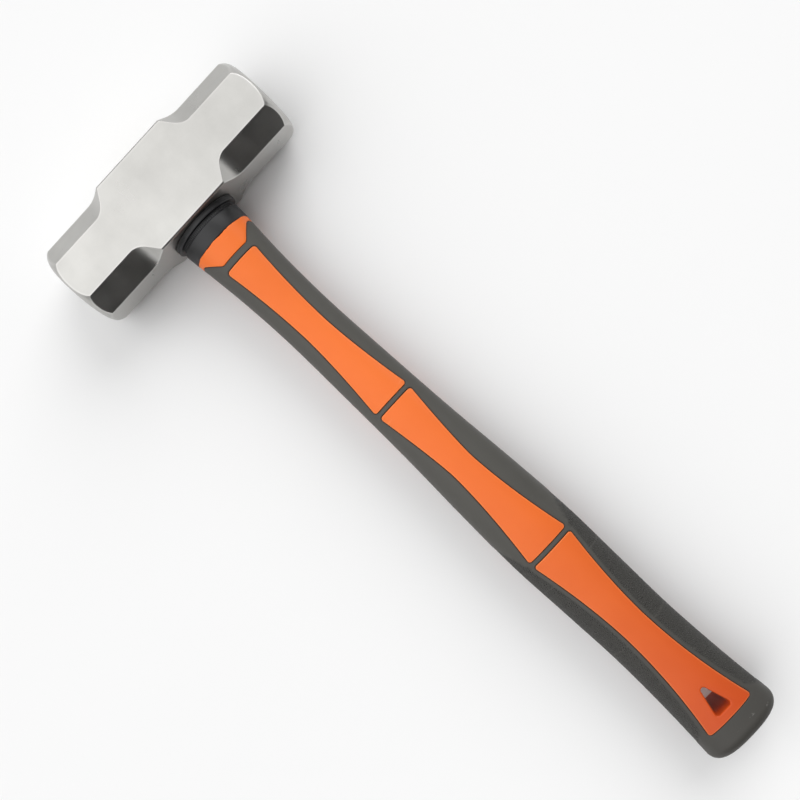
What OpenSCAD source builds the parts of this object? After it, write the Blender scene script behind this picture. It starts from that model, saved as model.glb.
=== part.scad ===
// Double-faced sledgehammer with an octagonal-ended forged head and a fibreglass-cored handle.
// It lies on one side of the head. +X runs along the handle from the head to the butt, +Y runs
// along the head from face to face, and +Z is up out of the side that faces away from the bench.
// The origin is on the bench, under the handle's axis and midway along the hammer.

/* [Overall] */
// Length from the top of the head to the end of the butt
overall_l = 376.5; // [360:0.5:420]

/* [Head] */
// Length of the head from striking face to striking face
head_l = 124; // [112:1:140]
// Width of the head across its flats
head_w = 41; // [39:0.5:46]
// Width of each flat between the corner chamfers
flat_w = 21; // [18:0.5:24]
// Length of the square block in the middle of the head
block_l = 39; // [34:1:42]
// Radius of the scoop that runs each chamfer out into the block
scoop_r = 10; // [6:1:12]
// Slope at which a scoop comes up to the corner of the block
scoop_slope = 45; // [40:1:50]
// Radius of the turned rim of a striking face
rim_r = 7; // [5:0.5:8]
// Radius of the low dome of a striking face
crown_r = 180; // [140:10:300]

/* [Eye] */
// Length of the eye along the head, at its mouths
eye_l = 31; // [28:0.5:33]
// Width of the eye across the head, at its mouths
eye_w = 22; // [20:0.5:24]
// How much narrower the eye is at its waist than at its mouths
eye_taper = 2; // [1:0.25:3]
// How far the resin stops short of the top of the head
resin_recess = 1; // [0.5:0.25:2]

/* [Core] */
// Diameter of the fibreglass rod
core_d = 16; // [14:0.5:17]
// Distance from the rod's lower end to the end of the butt
core_stop = 46; // [42:1:60]

/* [Collar] */
// Height of the rubber collar under the head
collar_h = 12.8; // [11:0.2:14]
// Height of the flange that bears on the head
flange_h = 2.9; // [2:0.1:3.5]
// How far the flange stands out past the ferrule
flange_out = 1.4; // [0.8:0.1:2]

/* [Grip] */
// Thickness of the rubber skin over the inner handle
skin_t = 2.4; // [1.8:0.1:2.6]
// Squareness of the grip's oval, where 2 is an ellipse
squareness = 2.4; // [2:0.1:3]
// Radius of the corner round the butt
butt_r = 5.5; // [4:0.5:7]
// Height of the low dome on the end of the butt
butt_dome = 1.9; // [1:0.1:3]

/* [Panels] */
// Radius of the corners of the handle's coloured panels
panel_r = 1.8; // [1:0.1:2.5]

/* [Hanging hole] */
// Length of the triangular hole along the handle
hole_l = 13.4; // [11:0.2:15]
// Width of the hole at its wide end
hole_w = 8.4; // [7:0.2:10]
// Radius of the hole's corners
hole_r = 1.3; // [1:0.1:1.5]
// Distance from the hole's wide end to the end of the butt
hole_stop = 19.3; // [17:0.1:22]

/* [Hidden] */

steel = "silver";
rubber_black = [0.09, 0.09, 0.1];
rubber_grey = [0.33, 0.33, 0.31];
orange_plastic = [0.96, 0.45, 0.18];
resin_dark = [0.2, 0.19, 0.18];
glass_rod = [0.9, 0.83, 0.6];

eps = 0.01;           // overlap that makes a cut come out clean
through = 60;         // longer than any cut that goes right through
$fn = 72;

axis_h = head_w / 2;                    // height of the handle's axis over the bench
eye_x = head_w / 2 - overall_l / 2;     // place of the eye's axis along the hammer
butt_x = overall_l - head_w / 2;        // end of the butt, from the eye's axis
head_under = head_w / 2;                // underside of the head, from the eye's axis
collar_end = head_under + collar_h;     // lower end of the collar
core_r = core_d / 2;

// Distances along the handle from here on are from the eye's axis. Each station is
// [distance, half width in Y, half thickness in Z] of the outside of the grip.
STATIONS = [
    [33, 15.9, 15.3],
    [58, 14.1, 13.4],
    [86, 13.35, 12.3],
    [120, 14.05, 12.4],
    [160, 15.3, 13.1],
    [196, 17.15, 14.0],
    [230, 18.35, 14.4],
    [262, 17.75, 14.0],
    [292, 17.25, 13.7],
    [322, 18.2, 14.2],
    [butt_x - butt_r - 1.5, 19.95, 15.2]
];
last_station = len(STATIONS) - 1;
grip_steps = 36;       // rings between the neck and the butt's corner
ring_points = 40;      // points round a ring
round_steps = 5;       // rings round the butt's corner
dome_steps = 4;        // rings over the butt's dome
corner_turn = 75;      // angle that the butt's corner turns before the dome takes over

// Each panel is [start, waist, end, half width at each of them, flare power before and after the
// waist]. A power of 2 is a parabola, and a lower one makes a straighter side.
PANELS = [
    [46.9, 92, 138.5, 9.2, 6.4, 10.3, 1.9, 1.6],
    [140.7, 181, 232.8, 10.1, 6.3, 11.9, 1.35, 1.65],
    [235, 284, butt_x - 15, 11.8, 6.95, 13.4, 1.75, 1.95]
];
panel_steps = 10;      // straight strips that follow a panel's curved sides
// Edge of the skin round the neck, as [distance, half width]: straight across the front, then
// two bevels back to the sides.
NECK_EDGE = [[43.7, 7.6], [38.6, 12.3], [36.2, 20]];
tenon_y = 13.3;        // half width of the inner handle inside the collar
tenon_z = 12.7;        // half thickness of the inner handle inside the collar
ferrule_t = 3.2;       // wall of the collar's ferrule at its upper end
taper_t = 0.5;         // how much thinner the ferrule's wall is at its lower end
flange_squash = 0.5;   // flange's overhang in Z, as a share of its overhang in Y
groove_h = 2.2;        // height of the groove between flange and ferrule
groove_t = 1.3;        // depth of that groove

// ---- curves -------------------------------------------------------------------------------

// Slope of column c of the stations at station i
function slope(i, c) =
    let (a = max(i - 1, 0), b = min(i + 1, last_station))
    (STATIONS[b][c] - STATIONS[a][c]) / (STATIONS[b][0] - STATIONS[a][0]);

// Index of the span of the stations that holds distance x
function span(x, i = 0) = i >= last_station - 1 || x < STATIONS[i + 1][0] ? i : span(x, i + 1);

// Smooth curve through column c of the stations at distance x
function along(x, c) =
    let (
        i = span(x),
        h = STATIONS[i + 1][0] - STATIONS[i][0],
        t = (x - STATIONS[i][0]) / h,
        t2 = t * t,
        t3 = t2 * t
    )
    (2 * t3 - 3 * t2 + 1) * STATIONS[i][c] + (t3 - 2 * t2 + t) * h * slope(i, c)
    + (3 * t2 - 2 * t3) * STATIONS[i + 1][c] + (t3 - t2) * h * slope(i + 1, c);

// Signed power, which squares up an ellipse
function squared(v, p) = sign(v) * pow(abs(v), p);

// Points of one ring at distance x, with half width a and half thickness b
function ring(x, a, b, n) = [
    for (k = [0 : ring_points - 1])
        let (t = 360 * k / ring_points)
        [x, a * squared(cos(t), 2 / n), b * squared(sin(t), 2 / n)]
];

// Half width of panel p at distance x
function panel_half(p, x) =
    x < p[1]
    ? p[4] + (p[3] - p[4]) * pow((p[1] - x) / (p[1] - p[0]), p[6])
    : p[4] + (p[5] - p[4]) * pow((x - p[1]) / (p[2] - p[1]), p[7]);

// ---- shapes -------------------------------------------------------------------------------

// Puts a shape that is drawn about the eye's axis in its place over the bench
module placed() {
    translate([eye_x, 0, axis_h]) children();
}

// Solid skinned over rings given as [x, half width, half thickness, squareness]
module lofted(rows) {
    m = ring_points;
    last = len(rows) - 1;
    polyhedron(
        points = [for (r = rows) each ring(r[0], r[1], r[2], r[3])],
        faces = concat(
            [[for (k = [0 : m - 1]) k]],
            [for (i = [0 : last - 1], k = [0 : m - 1])
                [i * m + k, (i + 1) * m + k, (i + 1) * m + (k + 1) % m]],
            [for (i = [0 : last - 1], k = [0 : m - 1])
                [i * m + k, (i + 1) * m + (k + 1) % m, i * m + (k + 1) % m]],
            [[for (k = [m - 1 : -1 : 0]) last * m + k]]
        )
    );
}

// Closed hoop skinned over rings that run down its outside and back up its inside
module lofted_hoop(rows) {
    m = ring_points;
    count = len(rows);
    polyhedron(
        points = [for (r = rows) each ring(r[0], r[1], r[2], r[3])],
        faces = concat(
            [for (i = [0 : count - 1], k = [0 : m - 1])
                [i * m + k, (i + 1) % count * m + k, (i + 1) % count * m + (k + 1) % m]],
            [for (i = [0 : count - 1], k = [0 : m - 1])
                [i * m + k, (i + 1) % count * m + (k + 1) % m, i * m + (k + 1) % m]]
        )
    );
}

// Outside of the grip, from the collar to the domed end of the butt
module grip_outside() {
    x0 = collar_end;
    x1 = butt_x - butt_dome - butt_r * sin(corner_turn);
    a = along(x1, 1);
    b = along(x1, 2);
    inset = butt_r * (1 - cos(corner_turn));
    lofted(concat(
        [for (k = [0 : grip_steps])
            let (x = x0 + (x1 - x0) * k / grip_steps)
            [x, along(x, 1), along(x, 2), squareness]],
        [for (k = [1 : round_steps])
            let (t = corner_turn * k / round_steps, in = butt_r * (1 - cos(t)))
            [x1 + butt_r * sin(t), a - in, b - in, squareness]],
        [for (k = [1 : dome_steps])
            let (s = 1 - 0.95 * k / dome_steps)
            [butt_x - butt_dome * s * s, (a - inset) * s, (b - inset) * s, squareness]]
    ));
}

// Body of the inner handle under the skin, with the tenon that the collar covers
module inner_body() {
    x0 = collar_end;
    x1 = butt_x - butt_dome - butt_r;
    lofted(concat(
        [
            [head_under, tenon_y, tenon_z, 2],
            [x0, tenon_y, tenon_z, 2]
        ],
        [for (k = [0 : grip_steps / 2])
            let (x = x0 + (x1 - x0) * 2 * k / grip_steps)
            [x, along(x, 1) - skin_t, along(x, 2) - skin_t, squareness]]
    ));
}

// Outline of panel p, made of strips that follow its curved sides
module panel_outline(p) {
    offset(r = panel_r)
        offset(delta = -panel_r)
            for (k = [0 : panel_steps - 1])
                hull()
                    for (j = [k, k + 1])
                        let (x = p[0] + (p[2] - p[0]) * j / panel_steps)
                        translate([x, 0])
                            square([eps, 2 * panel_half(p, x)], center = true);
}

// The three panels and the neck band, as cutters that go right through the handle
module show_through() {
    for (p = PANELS)
        linear_extrude(through, center = true)
            panel_outline(p);
    linear_extrude(through, center = true)
        polygon(concat(
            [[0, NECK_EDGE[2][1]]],
            [for (k = [2 : -1 : 0]) NECK_EDGE[k]],
            [for (e = NECK_EDGE) [e[0], -e[1]]],
            [[0, -NECK_EDGE[2][1]]]
        ));
}

// Triangular hole for a hook, pointed at the end toward the head
module hanging_hole() {
    base = butt_x - hole_stop;
    linear_extrude(through, center = true)
        hull() {
            translate([base - hole_l + hole_r, 0]) circle(hole_r, $fn = 32);
            for (s = [-1, 1])
                translate([base - hole_r, s * (hole_w / 2 - hole_r)]) circle(hole_r, $fn = 32);
        }
}

// Half width of the eye at a distance from its waist, which lies in the middle of the head
function eye_half_w(x) = (eye_w - eye_taper) / 2 + eye_taper / 2 * x / (head_w / 2);

// Slot with round ends that widens from its waist over a given length along +X
module eye_half(length) {
    reach = (eye_l - eye_w) / 2;
    r0 = eye_half_w(0);
    r1 = eye_half_w(length);
    for (s = [-1, 1])
        translate([0, s * reach, 0])
            rotate([0, 90, 0])
                cylinder(h = length, r1 = r0, r2 = r1);
    rotate([90, 0, 0])
        linear_extrude(2 * reach, center = true)
            polygon([[0, -r0], [length, -r1], [length, r1], [0, r0]]);
}

// Cutter for one chamfer and its run-out, on the corner of the bar at +X, +Y and +Z
module scoop() {
    edge = head_w / 2;
    depth = (head_w - flat_w) / 2 / sqrt(2);
    flat_y = block_l / 2 + depth / tan(scoop_slope) + scoop_r * tan(scoop_slope / 2);
    ramp_y = flat_y - scoop_r * sin(scoop_slope);
    ramp_h = depth - scoop_r * (1 - cos(scoop_slope));
    top_y = block_l / 2 - head_w / tan(scoop_slope);
    translate([edge, 0, edge])
        rotate([0, 45, 0])
            rotate([90, 0, 90]) {
                linear_extrude(head_w, center = true)
                    polygon([
                        [top_y, head_w],
                        [ramp_y, -ramp_h],
                        [flat_y, -depth],
                        [head_l, -depth],
                        [head_l, head_w]
                    ]);
                translate([flat_y, scoop_r - depth, 0])
                    cylinder(r = scoop_r, h = head_w, center = true);
            }
}

// Body that is turned to a low dome and a round rim at its +Y end, and holds the whole bar
module turned_end() {
    corner_reach = norm([head_w, flat_w]) / 2;
    rim_at = corner_reach + 0.5 - rim_r;
    dome_y = head_l / 2 - crown_r;
    rim_y = dome_y + sqrt(pow(crown_r - rim_r, 2) - rim_at * rim_at);
    dome_edge = rim_at * crown_r / (crown_r - rim_r);
    rotate([-90, 0, 0])
        rotate_extrude()
            intersection() {
                translate([0, dome_y]) circle(crown_r);
                union() {
                    translate([0, -head_l]) square([dome_edge, 2 * head_l]);
                    translate([rim_at, rim_y]) circle(rim_r);
                    translate([0, -head_l]) square([head_w, head_l + rim_y]);
                }
            }
}

// Rod along the handle's axis between two distances
module rod(x0, x1, r) {
    translate([x0, 0, 0])
        rotate([0, 90, 0])
            cylinder(h = x1 - x0, r = r);
}

// ---- sub-parts ----------------------------------------------------------------------------

// Forged steel head: a square bar, scooped at its eight corners, with a waisted eye
module hammer_head() {
    color(steel) placed()
        difference() {
            intersection() {
                cube([head_w, head_l, head_w], center = true);
                turned_end();
                mirror([0, 1, 0]) turned_end();
            }
            for (sx = [0, 1], sy = [0, 1], sz = [0, 1])
                mirror([sx, 0, 0]) mirror([0, sy, 0]) mirror([0, 0, sz]) scoop();
            for (sx = [0, 1])
                mirror([sx, 0, 0]) eye_half(head_w / 2 + eps);
        }
}

// Resin cast round the rod in the eye, a little short of the top of the head
module eye_resin() {
    color(resin_dark) placed()
        difference() {
            union() {
                eye_half(head_under);
                mirror([1, 0, 0]) eye_half(head_under - resin_recess);
            }
            rod(-head_w, head_w, core_r);
        }
}

// Fibreglass rod from the top of the head to short of the hanging hole
module fibreglass_core() {
    color(glass_rod) placed()
        rod(resin_recess - head_under, butt_x - core_stop, core_r);
}

// Hard plastic moulded on the rod, standing up through the skin as panels and a neck band
module inner_handle() {
    color(orange_plastic) placed()
        difference() {
            union() {
                inner_body();
                intersection() {
                    grip_outside();
                    show_through();
                }
            }
            rod(head_under - eps, butt_x - core_stop, core_r / cos(180 / $fn));
            hanging_hole();
        }
}

// Soft rubber skin moulded round the inner handle, open where the panels show
module grip_sleeve() {
    color(rubber_grey) placed()
        difference() {
            grip_outside();
            inner_body();
            show_through();
        }
}

// Rubber collar between the head and the handle: a flange, a groove and a plain ferrule
module head_collar() {
    soft = 0.6;                                 // size of its soft edges
    x0 = head_under;
    x1 = x0 + flange_h;
    x2 = x1 + groove_h;
    x3 = collar_end;
    top = [tenon_y, tenon_z] + ferrule_t * [1, 1];
    end = top - taper_t * [1, 1];
    flange = top + flange_out * [1, flange_squash];
    groove = top - groove_t * [1, 1];
    color(rubber_black) placed()
        lofted_hoop([
            [x0, flange[0] - soft, flange[1] - soft, 2],
            [x0 + soft, flange[0], flange[1], 2],
            [x1 - soft, flange[0], flange[1], 2],
            [x1, flange[0] - soft, flange[1] - soft, 2],
            [x1, groove[0], groove[1], 2],
            [x2, groove[0], groove[1], 2],
            [x2, top[0] - soft, top[1] - soft, 2],
            [x2 + soft, top[0], top[1], 2],
            [x3 - soft, end[0], end[1], 2],
            [x3, end[0] - soft, end[1] - soft, 2],
            [x3, tenon_y, tenon_z, 2],
            [x0, tenon_y, tenon_z, 2]
        ]);
}

hammer_head();
eye_resin();
fibreglass_core();
inner_handle();
grip_sleeve();
head_collar();
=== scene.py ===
"""Looks of a short-handled sledgehammer: forged head, rubber collar and moulded handle.

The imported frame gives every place. Sizes are in millimetres and distances along the handle are
counted from the eye's axis, as a maker would mark them; HammerSpace turns them into the frame.
"""

import logging
import math
from collections import Counter
from dataclasses import dataclass
from enum import Enum
from typing import Callable

import bmesh
import bpy
import numpy as np
from mathutils import Matrix, Vector


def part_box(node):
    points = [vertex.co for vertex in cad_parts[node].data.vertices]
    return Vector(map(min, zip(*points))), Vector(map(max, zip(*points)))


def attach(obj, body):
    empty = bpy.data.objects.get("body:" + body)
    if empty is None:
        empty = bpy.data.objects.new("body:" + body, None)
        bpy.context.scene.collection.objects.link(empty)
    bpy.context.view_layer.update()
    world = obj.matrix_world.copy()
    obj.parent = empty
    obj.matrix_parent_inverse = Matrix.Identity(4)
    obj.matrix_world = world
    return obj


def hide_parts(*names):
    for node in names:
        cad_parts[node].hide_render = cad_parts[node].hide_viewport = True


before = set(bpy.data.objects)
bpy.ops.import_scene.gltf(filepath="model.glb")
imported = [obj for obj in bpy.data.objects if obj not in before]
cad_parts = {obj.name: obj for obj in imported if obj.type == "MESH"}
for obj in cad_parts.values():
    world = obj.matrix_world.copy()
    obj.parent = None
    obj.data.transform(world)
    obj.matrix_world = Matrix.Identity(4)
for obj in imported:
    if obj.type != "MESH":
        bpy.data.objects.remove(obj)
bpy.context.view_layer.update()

BODY = "root"
MM = 0.001
RNG_SEED = 11
WELD = 0.0002 * MM
SLIVER = 0.0001 * MM
LOG = logging.getLogger("sledgehammer")

Piece = bpy.types.Object
Material = bpy.types.Material
Socket = bpy.types.NodeSocket
Faces = list[tuple[int, ...]]
Span = tuple[float, float]
Triple = tuple[float, float, float]
Colour = Triple


# ---- places -------------------------------------------------------------------------------


@dataclass(frozen=True)
class HammerSpace:
    """Where the hammer lies in the frame, read from its CAD nodes."""

    eye_x: float
    axis_z: float
    head_w: float
    head_l: float
    butt_x: float

    @classmethod
    def from_frame(cls) -> "HammerSpace":
        """Reads the head's and the grip's boxes.

        Returns:
            The space, with lengths in millimetres and places in metres.
        """
        low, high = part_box("hammer_head")
        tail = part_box("grip_sleeve")[1].x
        eye_x = (low.x + high.x) / 2
        return cls(
            eye_x=eye_x,
            axis_z=(low.z + high.z) / 2,
            head_w=(high.x - low.x) / MM,
            head_l=(high.y - low.y) / MM,
            butt_x=(tail - eye_x) / MM,
        )

    def place(self, points: np.ndarray) -> np.ndarray:
        """Turns millimetres about the eye into metres in the frame.

        Args:
            points: Array whose last axis is (along the handle, across, above its axis).

        Returns:
            Array of the same shape in the frame.
        """
        return np.asarray(points, float) * MM + np.array([self.eye_x, 0.0, self.axis_z])


SPACE = HammerSpace.from_frame()


class Side(Enum):
    """The two broad sides of the handle, by the sign of their height."""

    FRONT = 1.0
    BACK = -1.0


# ---- mesh helpers -------------------------------------------------------------------------


def add_object(name: str, data: bpy.types.ID) -> Piece:
    """Adds an object to the scene.

    Args:
        name: Name of the object.
        data: Its mesh, light or camera.

    Returns:
        The linked object.
    """
    obj = bpy.data.objects.new(name, data)
    bpy.context.scene.collection.objects.link(obj)
    return obj


def new_object(name: str, points: np.ndarray, faces: Faces, smooth_deg: float = 35.0) -> Piece:
    """Makes a mesh object in the frame from points in millimetres.

    Args:
        name: Name of the object and its mesh.
        points: N by 3 array in millimetres about the eye.
        faces: Point indices of each face.
        smooth_deg: Edges sharper than this angle stay sharp.

    Returns:
        The linked object, welded and with outward normals.
    """
    mesh = bpy.data.meshes.new(name)
    mesh.from_pydata(SPACE.place(points).tolist(), [], faces)
    obj = add_object(name, mesh)
    tidy_mesh(obj, smooth_deg)
    return obj


def tidy_mesh(obj: Piece, smooth_deg: float) -> None:
    """Welds doubles, points normals outwards and shades smooth up to an angle.

    Args:
        obj: Mesh object to clean.
        smooth_deg: Edges sharper than this angle stay sharp.
    """
    bm = bmesh.new()
    bm.from_mesh(obj.data)
    bmesh.ops.remove_doubles(bm, verts=bm.verts, dist=WELD)
    bmesh.ops.dissolve_degenerate(bm, edges=bm.edges, dist=SLIVER)
    bmesh.ops.recalc_face_normals(bm, faces=bm.faces)
    for face in bm.faces:
        face.smooth = True
    bm.to_mesh(obj.data)
    bm.free()
    obj.data.set_sharp_from_angle(angle=math.radians(smooth_deg))
    obj.data.update()


def apply_modifiers(obj: Piece) -> None:
    """Turns an object with modifiers into a plain mesh.

    Args:
        obj: Object whose modifiers are applied and removed.
    """
    graph = bpy.context.evaluated_depsgraph_get()
    mesh = bpy.data.meshes.new_from_object(obj.evaluated_get(graph))
    obj.modifiers.clear()
    obj.data = mesh


def cut(base: Piece, tool: Piece) -> None:
    """Cuts one solid out of another with an exact boolean.

    Args:
        base: Object that is changed.
        tool: Object that is cut away; it is deleted.
    """
    modifier = base.modifiers.new("cut", "BOOLEAN")
    modifier.object = tool
    modifier.operation = "DIFFERENCE"
    modifier.solver = "EXACT"
    modifier.use_self = True
    apply_modifiers(base)
    bpy.data.objects.remove(tool)


def join(parts: list[Piece], name: str, smooth_deg: float) -> Piece:
    """Joins closed solids into one object.

    Args:
        parts: Objects to join; they are deleted.
        name: Name of the result.
        smooth_deg: Edges sharper than this angle stay sharp.

    Returns:
        The joined object.
    """
    bm = bmesh.new()
    for part in parts:
        bm.from_mesh(part.data)
        bpy.data.objects.remove(part)
    mesh = bpy.data.meshes.new(name)
    for face in bm.faces:
        face.smooth = True
    bm.to_mesh(mesh)
    bm.free()
    mesh.set_sharp_from_angle(angle=math.radians(smooth_deg))
    return add_object(name, mesh)


def paint(obj: Piece, material: Material) -> Piece:
    """Gives a piece its one material.

    Args:
        obj: Piece to paint.
        material: Its finish.

    Returns:
        The piece.
    """
    obj.data.materials.clear()
    obj.data.materials.append(material)
    return obj


def grid_faces(rows: int, cols: int, closed: bool, skip: Callable[[int, int], bool] | None = None) -> Faces:
    """Quads of a grid whose points run row by row.

    Args:
        rows: Number of rows.
        cols: Number of columns.
        closed: Whether the last column joins the first.
        skip: Optional test of (row, column) that leaves a quad out.

    Returns:
        List of quads.
    """
    faces = []
    for i in range(rows - 1):
        for j in range(cols if closed else cols - 1):
            if skip and skip(i, j):
                continue
            here, after, k = i * cols, (i + 1) * cols, (j + 1) % cols
            faces.append((here + j, here + k, after + k, after + j))
    return faces


def rim_faces(faces: Faces, offset: int) -> Faces:
    """Quads that join the open edges of a sheet to its copy, offset further down the list.

    Args:
        faces: Faces of the first sheet.
        offset: How much higher the copy's indices are.

    Returns:
        List of quads round every open edge.
    """
    seen = Counter((min(a, b), max(a, b)) for face in faces for a, b in zip(face, face[1:] + face[:1]))
    return [(a, b, b + offset, a + offset) for (a, b), times in seen.items() if times == 1 and a != b]


def shell(name: str, outer: np.ndarray, inner: np.ndarray, faces: Faces, smooth_deg: float) -> Piece:
    """Closed wall between an outer sheet and an inner copy of it.

    Args:
        name: Name of the object.
        outer: N by 3 points of the outer sheet.
        inner: N by 3 points of the inner sheet.
        faces: Faces of the outer sheet.
        smooth_deg: Edges sharper than this angle stay sharp.

    Returns:
        The closed object.
    """
    offset = len(outer)
    back = [tuple(i + offset for i in reversed(face)) for face in faces]
    points = np.concatenate([outer, inner])
    return new_object(name, points, faces + back + rim_faces(faces, offset), smooth_deg)


class Ends(Enum):
    """How a stack of rings is closed at its ends."""

    POINTED = "the end rings have already shrunk to points"
    CAPPED = "a flat face over each end ring"
    JOINED = "the last ring joins the first"


def turns(count: int) -> np.ndarray:
    """Evenly spaced angles of the points of a ring."""
    return np.linspace(0, 2 * math.pi, count + 1)[:-1]


def ring(x: float | np.ndarray, across: np.ndarray, up: np.ndarray) -> np.ndarray:
    """Ring of points round the handle's axis, as an N by 3 array."""
    return np.stack([np.broadcast_to(x, np.shape(across)), across, up], axis=1)


def loft(name: str, rings: list[np.ndarray], ends: Ends, smooth_deg: float = 35.0) -> Piece:
    """Skins a closed solid over rings.

    Args:
        name: Name of the object.
        rings: Rings in order, each an N by 3 array with the same N.
        ends: How the stack is closed.
        smooth_deg: Edges sharper than this angle stay sharp.

    Returns:
        The solid.
    """
    size = len(rings[0])
    last = (len(rings) - 1) * size
    faces = grid_faces(len(rings), size, True)
    if ends is Ends.JOINED:
        faces += [(last + j, last + (j + 1) % size, (j + 1) % size, j) for j in range(size)]
    elif ends is Ends.CAPPED:
        faces += [tuple(range(size - 1, -1, -1)), tuple(range(last, last + size))]
    return new_object(name, np.concatenate(rings), faces, smooth_deg)


def fillet(distance: np.ndarray, radius: float) -> np.ndarray:
    """How far a surface falls at a distance from a rounded edge.

    Args:
        distance: Distance from the edge.
        radius: Radius of the rounding.

    Returns:
        Fall, from the radius at the edge to nothing at one radius away.
    """
    inside = np.clip(radius - distance, 0.0, radius)
    return radius - np.sqrt(radius * radius - inside * inside)


def ease(low: float, high: float, value: np.ndarray) -> np.ndarray:
    """Smooth step from 0 at low to 1 at high."""
    t = np.clip((np.asarray(value, float) - low) / (high - low), 0.0, 1.0)
    return t * t * (3 - 2 * t)


def distance_to_path(x: np.ndarray, y: np.ndarray, path: np.ndarray, batch: int = 2000) -> np.ndarray:
    """Distance in plan from points to a broken line.

    Args:
        x: Places along the handle.
        y: Places across it.
        path: M by 2 points of the line.
        batch: How many points are measured at once, to save memory.

    Returns:
        Distance of each point, in the shape of x.
    """
    flat = np.stack([np.ravel(x), np.ravel(y)], axis=1)
    start, step = path[:-1], np.diff(path, axis=0)
    length2 = np.maximum((step**2).sum(1), 1e-12)
    best = np.empty(len(flat))
    for low in range(0, len(flat), batch):
        rel = flat[low : low + batch, None, :] - start[None]
        t = np.clip((rel * step).sum(2) / length2, 0.0, 1.0)
        best[low : low + batch] = np.sqrt(((rel - t[..., None] * step) ** 2).sum(2)).min(1)
    return best.reshape(np.shape(x))


def add_attribute(obj: Piece, name: str, values: np.ndarray) -> None:
    """Stores one number per point, which the piece's material reads."""
    layer = obj.data.attributes.new(name, "FLOAT", "POINT")
    layer.data.foreach_set("value", np.asarray(values, np.float32).ravel())


def local_points(obj: Piece) -> np.ndarray:
    """Points of a finished mesh, back in millimetres about the eye.

    Args:
        obj: Mesh object in the frame.

    Returns:
        N by 3 array.
    """
    places = np.empty(len(obj.data.vertices) * 3)
    obj.data.vertices.foreach_get("co", places)
    return (places.reshape(-1, 3) - np.array([SPACE.eye_x, 0.0, SPACE.axis_z])) / MM


# ---- form of the handle -------------------------------------------------------------------


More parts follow.
